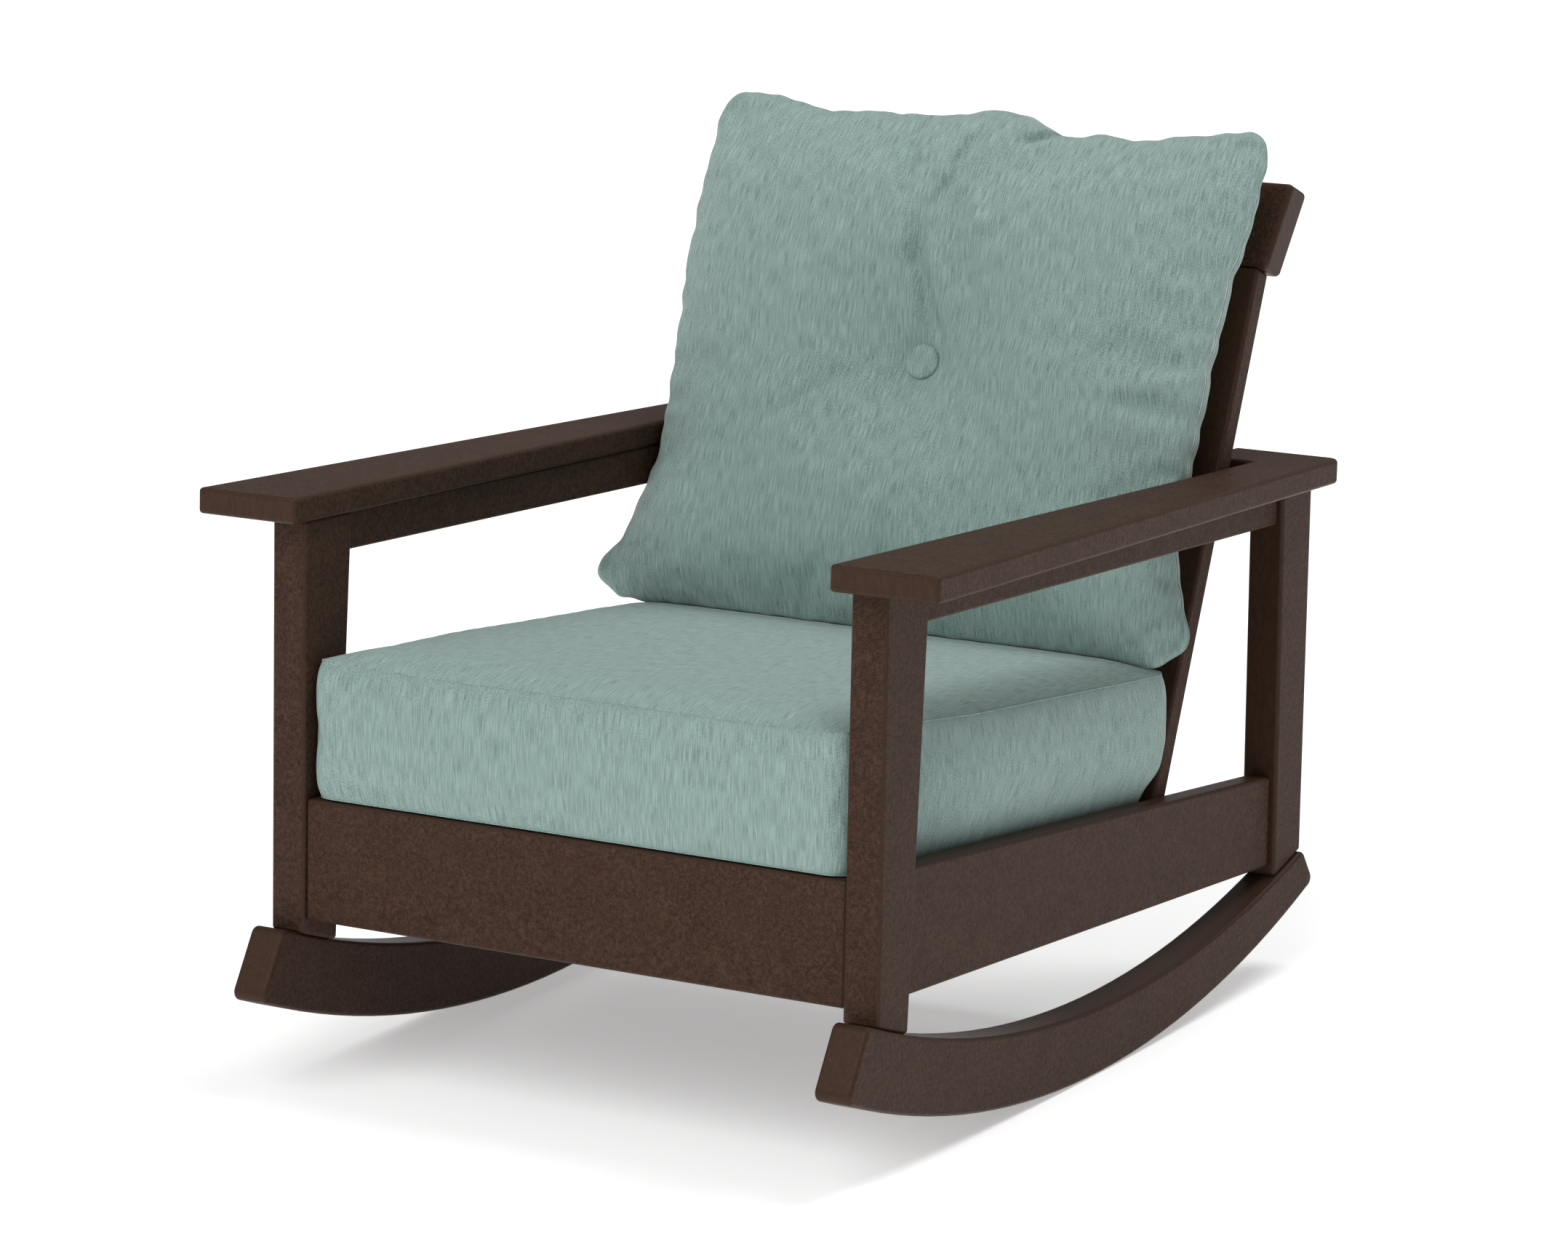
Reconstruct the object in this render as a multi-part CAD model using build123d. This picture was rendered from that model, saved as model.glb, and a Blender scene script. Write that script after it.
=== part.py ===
from build123d import *
import math
import os

# Outdoor rocking chair with a seat cushion and a buttoned back cushion, in millimetres.
# Everything is first drawn in the chair's own frame: y = 0 is the front of the front
# posts, the posts stand upright and the left side is +X.  settle() then tips the chair
# back to the angle at which it rests on its runners and sets the lowest point of the
# runners on z = 0.

# ---- stock sizes ---------------------------------------------------------------------
THICK = 38.0            # thick lumber: posts, runners, crest rail
THIN = 25.0             # thin lumber: arms, rails, slats, uprights
SOFT = 4.0              # rounding of the long edges

# ---- frame layout (chair frame) ------------------------------------------------------
POST_IN = 297.0         # inner face of the posts
POST_OUT = POST_IN + THICK
RAIL_IN = 303.5         # inner face of the side rails, centred on the posts
RAIL_OUT = RAIL_IN + THIN
RUNNER_IN = 301.5
RUNNER_OUT = RUNNER_IN + THICK
REAR_Y = 863.0          # rear end of the arms and rear posts
TOP_ARC = (420.5, 1380.6, 1347.0)      # runner top: centre y, centre z, radius
LOW_ARC = (378.0, 1258.0, 1290.6)      # runner underside
RUNNER_FRONT = ((-24.0, 108.0), (-60.0, 41.8))
RUNNER_REAR = ((862.0, 108.5), (888.0, 74.0))

ARM_Z = 499.2           # underside of the arms at y = 0
ARM_FALL = 0.0101       # fall of the arms towards the rear
ARM_FRONT = -27.7
ARM_OUT = (401.9, 365.4)               # outer edge, front and rear
ARM_IN = (289.8, 303.9)                # inner edge, front and at the upright
ARM_TAB = 247.0         # inner edge of the tab behind the upright
NOTCH = (700.0, 786.0)  # straight part of the inner edge beside the upright
ARM_RAIL_H = 38.5

RAIL_TOP = (237.0, 0.0597)             # side rail top at y = 77, and its fall
RAIL_LOW = (117.4, 0.0232)             # side rail underside at y = 71, and its fall
FRONT_RAIL = (3.0, 113.0, 231.5)       # front face y, underside z, top z
SLAT_FALL = 0.0597
SLAT_TOP = 233.5        # top of the seat slats, drawn on to y = 0
SLAT_W = 63.0
SLAT_GAP = 6.8
SLAT_COUNT = 8
SLAT_HALF = 295.5

# ---- back frame ----------------------------------------------------------------------
BACK_Y, BACK_Z = 784.9, 708.9          # a point on the front plane of the back
BACK_RISE = 0.381       # backward lean of that plane, dy/dz
UPRIGHT = (243.0, 303.2)
UPRIGHT_LOW = -625.0
CREST_LOW = 2.0
CREST_H = 89.0
CREST_HALF = (310.5, 322.7)            # half length at its lower and upper edge
BACK_SLAT_H = 63.0
BACK_SLATS = [-50.0 - 74.0 * i for i in range(6)]
TENON = 14.0

# ---- fasteners -----------------------------------------------------------------------
HEAD_H = 3.0            # screw head height
SCREW_GAP = 0.2         # clearance round a screw or dowel in its hole
DOWEL = (44.0, 10.0)    # length and diameter of the dowels at the rail ends
CREST_DOWEL = (60.0, 10.0)

# ---- cushions ------------------------------------------------------------------------
COVER = 1.2             # cloth thickness
SEAT_HALF = 288.0
SEAT_FRONT = 11.0
SEAT_BASE = 233.9       # underside of the seat cushion, drawn on to y = 0
SEAT_H = 138.0
PILLOW_HALF = (293.0, 314.0)           # half width between the arms and above them
PILLOW_D = 128.0        # front of the back cushion, from the back frame
PILLOW_BACK = 1.6
PILLOW_TOP = 129.0
BUTTON_U = -146.0
BUTTON_D = 88.0
BUTTON_R = 18.5
DIMPLE_R = 80.0         # radius of the dip round the button, at the front face
FILL_WALL = 6.0         # packed thickness of the fibre inside the back cushion

# ---- resting position ----------------------------------------------------------------
PITCH = -2.156          # degrees, the chair rests tipped slightly back
TILT = math.radians(PITCH)


def settle(shape):
    """Tip the chair back to rest on its runners, centred over the origin."""
    low_y, low_z, low_r = LOW_ARC
    centre_y = low_y * math.cos(TILT) - low_z * math.sin(TILT)
    centre_z = low_y * math.sin(TILT) + low_z * math.cos(TILT)
    return Pos(0, -CENTRE_Y, low_r - centre_z) * Rot(PITCH, 0, 0) * shape


def mirrored(shape):
    return mirror(shape, about=Plane.YZ)


def arc_z(arc, y):
    """Height of a runner arc at a distance y from the front."""
    return arc[1] - math.sqrt(arc[2] ** 2 - (y - arc[0]) ** 2)


def soften(shape, radius=SOFT):
    """Round every edge that will take it, with less where the full radius fails."""
    for r in (radius, radius * 0.6, radius * 0.3):
        try:
            return fillet(shape.edges(), r)
        except Exception:
            continue
    print("not rounded", shape.bounding_box())
    return shape


def side_prism(face, x0, x1):
    """Extrude a face drawn in (y, z) from x0 to x1."""
    return extrude(Plane.YZ.offset(x0) * face, amount=x1 - x0)


def polygon(points):
    return make_face(Polyline(*points, close=True))


def back_frame(x, u, d):
    """Location in the back's own axes: x across, u up the lean, d forwards."""
    n = math.hypot(1.0, BACK_RISE)
    plane = Plane(
        origin=(0, BACK_Y, BACK_Z), x_dir=(1, 0, 0), z_dir=(0, -1.0 / n, BACK_RISE / n)
    )
    return plane.location * Pos(x, u, d)


def front_post_rear(z):
    return 56.8 + 0.0527 * (z - 100.6)


def rear_post_front(z):
    return 803.0 - 0.0197 * (z - 100.6)


def arm_low(y):
    return ARM_Z - ARM_FALL * y


def rail_top(y):
    return RAIL_TOP[0] - RAIL_TOP[1] * (y - 77.0)


def rail_low(y):
    return RAIL_LOW[0] - RAIL_LOW[1] * (y - 71.0)


def slat_top(y):
    return SLAT_TOP - SLAT_FALL * y


# ---- frame boards --------------------------------------------------------------------
def arc_between(arc, y0, y1):
    mid = (y0 + y1) / 2
    return ThreePointArc((y0, arc_z(arc, y0)), (mid, arc_z(arc, mid)), (y1, arc_z(arc, y1)))


def runner():
    top0, low0 = RUNNER_FRONT
    top1, low1 = RUNNER_REAR
    top = arc_between(TOP_ARC, top0[0], top1[0])
    low = arc_between(LOW_ARC, low0[0], low1[0])
    front = Line(low @ 0, top @ 0)
    rear = Line(top @ 1, low @ 1)
    face = make_face([top, rear, low, front])
    face = fillet(face.vertices(), 9.0)
    return soften(side_prism(face, RUNNER_IN, RUNNER_OUT))


def front_post():
    foot = meet(front_post_rear, lambda y: arc_z(TOP_ARC, y), 56.0)
    base = arc_between(TOP_ARC, 0.0, foot[0])
    rear = Line(base @ 1, meet(front_post_rear, arm_low, 77.8))
    top = Line(rear @ 1, (0.0, arm_low(0.0)))
    front = Line(top @ 1, base @ 0)
    return soften(side_prism(make_face([base, rear, top, front]), POST_IN, POST_OUT))


def rear_post():
    foot = meet(rear_post_front, lambda y: arc_z(TOP_ARC, y), 803.0)
    base = arc_between(TOP_ARC, foot[0], 862.8)
    rear = Line(base @ 1, (861.0, arm_low(861.0)))
    top = Line(rear @ 1, meet(rear_post_front, arm_low, 795.0))
    front = Line(top @ 1, base @ 0)
    return soften(side_prism(make_face([base, rear, top, front]), POST_IN, POST_OUT))


def arm():
    notch0, notch1 = NOTCH
    outline = polygon(
        [
            (ARM_IN[0], ARM_FRONT),
            (ARM_OUT[0], ARM_FRONT),
            (ARM_OUT[1], REAR_Y),
            (ARM_TAB, REAR_Y),
            (ARM_TAB, notch1),
            (ARM_IN[1], notch1),
            (ARM_IN[1], notch0),
        ]
    )
    corners = outline.vertices()
    outer_rear = corners.sort_by(Axis.Y)[-2:].sort_by(Axis.X)[-1:]
    outline = fillet(outer_rear, 14.0)
    board = soften(extrude(outline, amount=THIN))
    tilt = -math.degrees(math.atan(ARM_FALL))
    return Pos(0, 0, ARM_Z) * Rot(tilt, 0, 0) * board


def meet(front, height, y):
    """Where a sloping board edge height(y) meets the post face front(z)."""
    for _ in range(6):
        y = front(height(y))
    return (y, height(y))


def rail_face(low, high):
    """Side view of a rail that runs between the front and rear posts."""
    return polygon(
        [
            meet(front_post_rear, low, 70.0),
            meet(rear_post_front, low, 800.0),
            meet(rear_post_front, high, 800.0),
            meet(front_post_rear, high, 70.0),
        ]
    )


def arm_rail():
    face = rail_face(lambda y: arm_low(y) - ARM_RAIL_H, lambda y: arm_low(y) - 0.02)
    return soften(side_prism(face, RAIL_IN, RAIL_OUT), 3.0)


def seat_rail():
    return soften(side_prism(rail_face(rail_low, rail_top), RAIL_IN, RAIL_OUT))


def front_rail():
    y0, z0, z1 = FRONT_RAIL
    rail = Box(2 * POST_IN, THIN, z1 - z0)
    return Pos(0, y0 + THIN / 2, (z0 + z1) / 2) * soften(rail)


def rear_rail():
    return back_frame(0, -578.5, -1.5 * THIN) * soften(Box(2 * RAIL_IN, 85.0, THIN), 3.0)


def seat_slats():
    pitch = SLAT_W + SLAT_GAP
    tilt = -math.degrees(math.atan(SLAT_FALL))
    slats = []
    for i in range(SLAT_COUNT):
        y = FRONT_RAIL[0] + THIN + 0.8 + SLAT_W / 2 + i * pitch
        board = soften(Box(2 * SLAT_HALF, SLAT_W, THIN), 3.0)
        slats.append(Pos(0, y, slat_top(y) - THIN / 2) * Rot(tilt, 0, 0) * board)
    return slats


def cleat_top(y):
    """Top of the cleats, a hair under the tilted slats."""
    return slat_top(y) - THIN - 0.06


def cleat_low(y, drop=30.0):
    return slat_top(y) - THIN - drop


def side_cleat():
    y0, y1 = 79.0, 562.0
    top = [(y, cleat_top(y)) for y in (y1, y0)]
    face = polygon([(y0, cleat_low(y0)), (y1, cleat_low(y1))] + top)
    return side_prism(face, RAIL_IN - THIN, RAIL_IN)


def front_cleat():
    y0 = FRONT_RAIL[0] + THIN
    y1 = y0 + THIN
    top = [(y, cleat_top(y)) for y in (y1, y0)]
    face = polygon([(y0, cleat_low(y0)), (y1, cleat_low(y1))] + top)
    return side_prism(face, -250.0, 250.0)


# ---- back frame ----------------------------------------------------------------------
def upright():
    x0, x1 = UPRIGHT
    length = CREST_LOW - UPRIGHT_LOW
    board = soften(Box(x1 - x0, length, THIN))
    return back_frame((x0 + x1) / 2, (CREST_LOW + UPRIGHT_LOW) / 2, -THIN / 2) * board


def crest_rail():
    low, high = CREST_HALF
    face = polygon(
        [(-low, 0), (low, 0), (high, CREST_H), (-high, CREST_H)]
    )
    return back_frame(0, CREST_LOW, -THICK) * soften(extrude(face, amount=THICK), 6.0)


def back_slat(u):
    board = soften(Box(2 * UPRIGHT[0], BACK_SLAT_H, THIN), 3.0)
    core = Box(2 * (UPRIGHT[0] + TENON), BACK_SLAT_H - 22.0, 11.0)
    return back_frame(0, u, -THIN / 2) * (board + core)


def slat_mortise(u):
    return back_frame(0, u, -THIN / 2) * Box(
        2 * (UPRIGHT[0] + TENON), BACK_SLAT_H - 22.0, 11.0
    )


# ---- fasteners -----------------------------------------------------------------------
def screw(length, shank, head):
    """Pan-head screw along -Z with its head's top face at the origin."""
    stem = Pos(0, 0, -length / 2) * Cylinder(shank / 2, length)
    return stem + Pos(0, 0, -HEAD_H / 2) * Cylinder(head / 2, HEAD_H)


def screw_hole(length, shank, head):
    """The stepped hole that the same screw stands in, open above the head."""
    gap = SCREW_GAP
    stem = Pos(0, 0, -(length + gap) / 2) * Cylinder(shank / 2 + gap, length + gap)
    mouth = Pos(0, 0, (30.0 - HEAD_H - gap) / 2) * Cylinder(
        head / 2 + gap, 30.0 + HEAD_H + gap
    )
    return stem + mouth


def down_at(x, y, z):
    return Pos(x, y, z)


def up_at(x, y, z):
    return Pos(x, y, z) * Rot(180, 0, 0)


def both_sides(places):
    """Places on the left side, and their mirror images on the right."""
    return [(x * s, y, z) for s in (1, -1) for x, y, z in places]


def dowel(length, width, gap=0.0):
    """Plain dowel along Z with its middle at the origin, or its hole with a gap."""
    return Cylinder(width / 2 + gap, length + 2 * gap)


def runner_screw_places():
    mid = (RUNNER_IN + POST_OUT) / 2
    return both_sides([(mid, y, arc_z(LOW_ARC, y) + 10.0) for y in (16.0, 42.0, 834.0, 852.0)])


def arm_screw_places():
    mid = (RAIL_IN + RAIL_OUT) / 2
    places = [(mid, y, arm_low(y) - ARM_RAIL_H + 1.2) for y in (130.0, 320.0, 510.0, 690.0)]
    return both_sides(places)


def slat_screw_places(slats):
    x = RAIL_IN - THIN / 2 - 3.0
    places = []
    for slat in slats[1:]:
        y = slat.center().Y
        places.append((x, y, slat_top(y) - 0.6))
    first = slats[0].center().Y - 10.0
    places.append((150.0, first, slat_top(first) - 0.6))
    return both_sides(places)


def upright_bolt_locations():
    found = []
    for sign in (1, -1):
        for u in (-578.0, -238.0):
            turn = Rot(0, -90 * sign, 0)
            found.append(back_frame(sign * (UPRIGHT[0] + 1.5), u, -THIN / 2) * turn)
    return found


def rear_rail_screw_locations():
    return [
        back_frame(x, -606.0, -2 * THIN + 0.6) * Rot(180, 0, 0)
        for x in (-288.0, -258.0, 258.0, 288.0)
    ]


def crest_dowel_locations():
    return [
        back_frame(x, CREST_LOW, -THIN / 2) * Rot(-90, 0, 0)
        for x in (-288.0, -264.0, 264.0, 288.0)
    ]


def rail_dowel_locations():
    """Two dowels at each end of the front and seat rails, one at each end of an arm rail."""
    found = []
    for sign in (1, -1):
        for z in (165.0, 208.0):
            across = Rot(0, 90, 0)
            found.append(Pos(sign * POST_IN, FRONT_RAIL[0] + THIN / 2, z) * across)
        x = sign * (RAIL_IN + RAIL_OUT) / 2
        for z in (158.0, 208.0, ARM_Z - 20.0):
            found.append(Pos(x, front_post_rear(z), z) * Rot(90, 0, 0))
        for z in (128.0, 168.0, ARM_Z - 27.0):
            found.append(Pos(x, rear_post_front(z), z) * Rot(90, 0, 0))
    return found


def screws(places, *size):
    """A group of screws: where they are, one screw and its hole."""
    return places, screw(*size), screw_hole(*size)


def dowels(places, *size):
    """A group of dowels: where they are, one dowel and its hole."""
    return places, dowel(*size), dowel(*size, SCREW_GAP)


def fasteners(slats):
    """Every group of fasteners."""
    return {
        "runner_screws": screws([up_at(*p) for p in runner_screw_places()], 120.0, 6.0, 11.0),
        "arm_screws": screws([up_at(*p) for p in arm_screw_places()], 54.0, 4.5, 9.0),
        "slat_screws": screws([down_at(*p) for p in slat_screw_places(slats)], 45.0, 4.5, 9.0),
        "upright_screws": screws(upright_bolt_locations(), 78.0, 6.0, 11.0),
        "rear_rail_screws": screws(rear_rail_screw_locations(), 44.0, 4.5, 9.0),
        "crest_dowels": dowels(crest_dowel_locations(), *CREST_DOWEL),
        "rail_dowels": dowels(rail_dowel_locations(), *DOWEL),
    }


# ---- cushions ------------------------------------------------------------------------
def back_y(z, d=0.0):
    """y of the plane at distance d in front of the back frame, at height z."""
    n = math.hypot(1.0, BACK_RISE)
    return BACK_Y + BACK_RISE * (z - BACK_Z) - d * n


def seat_block(inset):
    """Seat cushion as a rounded block, drawn in by inset on every face."""

    def base(y):
        return SEAT_BASE + inset - SLAT_FALL * y

    y0 = SEAT_FRONT + inset
    height = SEAT_H - 2 * inset
    low, high = 588.0, 640.0
    low = back_y(base(low), 1.6 + inset)
    high = back_y(base(high) + height, 1.6 + inset)
    face = polygon(
        [(y0, base(y0)), (low, base(low)), (high, base(high) + height), (y0, base(y0) + height)]
    )
    half = SEAT_HALF - inset
    block = side_prism(face, -half, half)
    uprights = [e for e in block.edges() if abs(e.tangent_at(0.5).X) < 0.1
                and abs(e.tangent_at(0.5).Z) > 0.8]
    block = fillet(uprights, 30.0 - inset)
    loops = block.faces().sort_by(Axis.Z)
    return fillet(loops[-1].edges() + loops[0].edges(), 13.0 - inset)


def seat_cushion():
    """Cover, foam and zip of the seat cushion."""
    zip_z = 300.0
    spot = Pos(0, back_y(zip_z, 2.15), zip_z) * Rot(-math.degrees(math.atan(BACK_RISE)), 0, 0)
    outer = seat_block(0.0)
    inner = seat_block(COVER)
    cover = outer - inner - spot * Box(521.0, 1.2, 9.0)
    strip = spot * Box(520.0, 1.0, 8.0)
    return cover, seat_block(COVER + 0.05), strip


def pillow_low(d):
    """Lowest point of the back cushion at d: just clear of the seat cushion."""
    n = math.hypot(1.0, BACK_RISE)
    c, s = 1.0 / n, BACK_RISE / n
    seat = SEAT_BASE + SEAT_H + 0.5
    return (seat - SLAT_FALL * (BACK_Y - c * d) - BACK_Z - s * d) / (c + SLAT_FALL * s)


def pillow_outline():
    """Front view of the back cushion: wider above the arms than between them."""
    low, high = PILLOW_HALF
    right = [(low, -450.0), (low, -225.0), (high, -150.0), (high, PILLOW_TOP)]
    left = [(-x, u) for x, u in reversed(right)]
    outline = polygon(right + left)
    return fillet(outline.vertices(), 48.0)


def pillow_block(inset):
    """Back cushion as a rounded block with its dimples, drawn in by inset."""
    near, far = PILLOW_BACK + inset, PILLOW_D - inset
    block = extrude(offset(pillow_outline(), amount=-inset), amount=far - near)
    block = Pos(0, 0, near) * block
    faces = block.faces().sort_by(Axis.Z)
    block = fillet(faces[-1].edges(), 42.0 - inset)
    block = fillet(block.faces().sort_by(Axis.Z)[0].edges(), 20.0 - inset)
    low0, low1 = pillow_low(-20.0) + inset, pillow_low(200.0) + inset
    wedge = polygon([(-20.0, low0), (-20.0, -600.0), (200.0, -600.0), (200.0, low1)])
    side = Plane(origin=(0, 0, 0), x_dir=(0, 0, 1), z_dir=(-1, 0, 0))
    block = block - extrude(side * wedge, amount=400.0, both=True)
    floor = BUTTON_D - 2.0 - inset
    depth = PILLOW_D + 6.0 - floor
    dimple = Cone(BUTTON_R + 2.5 + inset, DIMPLE_R + inset, depth)
    block = block - Pos(0, BUTTON_U, floor + depth / 2) * dimple
    return block - Pos(0, BUTTON_U, 4.0 + inset / 2) * Cylinder(
        BUTTON_R + 2.0 + inset, 8.0 + inset
    )


def back_cushion():
    """Cover, filling, two buttons, the cord between them and the zip."""
    cord_hole = Pos(0, BUTTON_U, 46.0) * Cylinder(1.15, 90.0)
    zip_hole = Pos(0, -340.0, 2.15) * Box(521.0, 9.0, 1.2)
    cover = pillow_block(0.0) - pillow_block(COVER) - cord_hole - zip_hole
    skin = COVER + 0.05
    fill = pillow_block(skin) - pillow_block(skin + FILL_WALL) - cord_hole
    cap = Cylinder(BUTTON_R, 7.0)
    cap = fillet(cap.faces().sort_by(Axis.Z)[-1].edges(), 4.5)
    front = Pos(0, BUTTON_U, BUTTON_D - 2.0 + 0.1 + 3.5) * cap
    flat = Cylinder(BUTTON_R, 4.6)
    flat = fillet(flat.faces().sort_by(Axis.Z)[0].edges(), 2.5)
    rear = Pos(0, BUTTON_U, 5.55) * flat
    cord = Pos(0, BUTTON_U, 47.0) * Cylinder(1.0, 78.0)
    strip = Pos(0, -340.0, 2.15) * Box(520.0, 8.0, 1.0)
    where = back_frame(0, 0, 0)
    return [where * s for s in (cover, fill, front, rear, cord, strip)]


# ---- assembly ------------------------------------------------------------------------
def bored(shape, groups, names):
    """The board with the holes of the named fastener groups cut where they meet it."""
    box = shape.bounding_box()
    for name in names:
        places, _, hole = groups[name]
        for place in places:
            tool = place * hole
            other = tool.bounding_box()
            apart = any(
                getattr(box.min, a) > getattr(other.max, a)
                or getattr(other.min, a) > getattr(box.max, a)
                for a in "XYZ"
            )
            if not apart:
                shape = shape - tool
    return shape


def build():
    parts = {}
    slats = seat_slats()
    groups = fasteners(slats)

    left = {
        "runner": bored(runner(), groups, ["runner_screws"]),
        "front_post": bored(front_post(), groups, ["runner_screws", "rail_dowels"]),
        "rear_post": bored(rear_post(), groups, ["runner_screws", "rail_dowels"]),
        "arm": bored(arm(), groups, ["arm_screws"]),
        "arm_rail": bored(arm_rail(), groups, ["arm_screws", "upright_screws", "rail_dowels"]),
        "seat_rail": bored(seat_rail(), groups, ["upright_screws", "rail_dowels"]),
        "seat_cleat": bored(side_cleat(), groups, ["slat_screws"]),
    }
    board = upright()
    for u in BACK_SLATS:
        board = board - slat_mortise(u)
    names = ["upright_screws", "crest_dowels", "rear_rail_screws"]
    left["upright"] = bored(board, groups, names)
    for name, shape in left.items():
        parts[name + "_left"] = shape
        parts[name + "_right"] = mirrored(shape)

    parts["front_rail"] = bored(front_rail(), groups, ["rail_dowels"])
    parts["rear_rail"] = bored(rear_rail(), groups, ["rear_rail_screws"])
    parts["front_cleat"] = bored(front_cleat(), groups, ["slat_screws"])
    parts["crest_rail"] = bored(crest_rail(), groups, ["crest_dowels"])
    for i, slat in enumerate(slats, 1):
        parts[f"seat_slat_{i}"] = bored(slat, groups, ["slat_screws"])
    for i, u in enumerate(BACK_SLATS, 1):
        parts[f"back_slat_{i}"] = back_slat(u)
    for name, (places, one, _) in groups.items():
        parts[name] = Compound(children=[place * one for place in places])

    names = ("seat_cover", "seat_foam", "seat_zip")
    parts.update(zip(names, seat_cushion()))
    names = ("back_cover", "back_fill", "button_front", "button_rear", "tuft_cord", "back_zip")
    parts.update(zip(names, back_cushion()))
    return parts


def box_middle(shapes):
    """Middle of the y extent of the tipped chair."""
    boxes = [(Rot(PITCH, 0, 0) * s).bounding_box() for s in shapes]
    return (min(b.min.Y for b in boxes) + max(b.max.Y for b in boxes)) / 2


PARTS = build()
CENTRE_Y = box_middle(PARTS.values())
os.makedirs("parts", exist_ok=True)
for NAME, SHAPE in PARTS.items():
    export_step(settle(SHAPE), f"parts/{NAME}.step")
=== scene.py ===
"""Cushioned rocking chair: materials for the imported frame, soft goods, studio and camera."""

import logging
import math
from dataclasses import dataclass
from enum import Enum
from typing import Sequence

import bpy
import numpy as np
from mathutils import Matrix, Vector
from mathutils.bvhtree import BVHTree


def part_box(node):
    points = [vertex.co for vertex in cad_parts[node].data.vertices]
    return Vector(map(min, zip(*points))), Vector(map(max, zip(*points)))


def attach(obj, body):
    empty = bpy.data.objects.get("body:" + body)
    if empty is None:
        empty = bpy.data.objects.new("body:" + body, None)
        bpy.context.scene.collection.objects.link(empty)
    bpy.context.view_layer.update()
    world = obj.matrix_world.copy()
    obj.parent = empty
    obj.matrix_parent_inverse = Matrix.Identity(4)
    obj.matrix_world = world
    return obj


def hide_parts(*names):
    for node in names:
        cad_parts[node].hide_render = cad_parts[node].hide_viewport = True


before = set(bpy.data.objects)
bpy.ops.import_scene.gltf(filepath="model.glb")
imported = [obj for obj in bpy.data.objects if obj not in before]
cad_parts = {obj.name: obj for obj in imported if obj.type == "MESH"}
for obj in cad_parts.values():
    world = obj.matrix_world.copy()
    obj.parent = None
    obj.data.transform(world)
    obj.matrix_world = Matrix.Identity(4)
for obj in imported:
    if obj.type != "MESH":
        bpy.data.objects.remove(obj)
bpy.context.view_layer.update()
LOG = logging.getLogger("rocking_chair")
CLOTH_MAP = "cloth"
TINY = 1e-9
HELD_LEAST = 0.01
# Where each panel is cut from the cloth, in metres, so that no two show the same threads.
BASE_PANEL_CUT = 1.7
REAR_PANEL_CUT = 2.3
BAND_CUT = 3.1
BUTTON_CUT = 0.7

Colour = tuple[float, float, float]
Scales = tuple[float, float, float]
Pair = tuple[float, float]
Knots = tuple[tuple[float, float], ...]
Socket = bpy.types.NodeSocket
Value = Socket | float | Colour


class Body(Enum):
    """The bodies that the pieces made here ride on."""

    SEAT = "seat_cushion"
    BACK = "back_cushion"


class Slot(Enum):
    """Names of the record's material slots for the pieces made here; nothing in this script uses them."""

    CLOTH = "cushion_cloth"
    FILLING = "cushion_filling"
    ZIP = "zip_tape"


# ---- axes ----------------------------------------------------------------------------
@dataclass(frozen=True)
class ChairAxes:
    """The chair's own axes: posts upright, y = 0 at the front of the front posts.

    The back frame has axes of its own: x across, u up its lean from (back_y, back_z),
    and d in front of its face, with back_rise the run of the lean for a rise of one.
    """

    pitch: float = math.radians(-2.156)
    back_y: float = 0.7849
    back_z: float = 0.7089
    back_rise: float = 0.381
    datum_u: float = -0.146
    datum_d: float = 0.047

    def _rotate(self, points: np.ndarray) -> np.ndarray:
        """Tip points back by the chair's resting angle.

        Args:
            points: chair points, shape (..., 3).

        Returns:
            The tipped points.
        """
        c, s = math.cos(self.pitch), math.sin(self.pitch)
        x, y, z = points[..., 0], points[..., 1], points[..., 2]
        return np.stack([x, y * c - z * s, y * s + z * c], axis=-1)

    def back_in_chair(self, x: np.ndarray, u: np.ndarray, d: np.ndarray) -> np.ndarray:
        """Chair points of places given across, up and in front of the back frame.

        Args:
            x: places across.
            u: places up the lean.
            d: distances in front of the back frame.

        Returns:
            Their chair points, shape (..., 3).
        """
        n = math.hypot(1.0, self.back_rise)
        y = self.back_y + (u * self.back_rise - d) / n
        z = self.back_z + (u + d * self.back_rise) / n
        return np.stack([x + 0 * y, y, z], axis=-1)

    def offset(self) -> np.ndarray:
        """Shift from the tipped chair axes to the row frame, read from the tufting cord.

        Returns:
            The shift.
        """
        low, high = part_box("tuft_cord")
        middle = np.array((low + high) / 2)
        place = self.back_in_chair(*(np.array(v) for v in (0.0, self.datum_u, self.datum_d)))
        return middle - self._rotate(place)

    def to_row(self, points: np.ndarray) -> np.ndarray:
        """Row-frame points of chair points, shape (..., 3)."""
        return self._rotate(np.asarray(points, float)) + self.offset()

    def back(self, x: np.ndarray, u: np.ndarray, d: np.ndarray) -> np.ndarray:
        """Row-frame points of places across, up and in front of the back frame."""
        return self.to_row(self.back_in_chair(*(np.asarray(v, float) for v in (x, u, d))))

    def forward(self) -> Vector:
        """Unit vector square to the back frame, towards the sitter."""
        ends = self.back([0, 0], [0, 0], [0, 1])
        return Vector(ends[1] - ends[0])

    def lean(self) -> Vector:
        """Unit vector up the lean of the back frame."""
        ends = self.back([0, 0], [0, 1], [0, 0])
        return Vector(ends[1] - ends[0])


AXES = ChairAxes()


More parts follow.
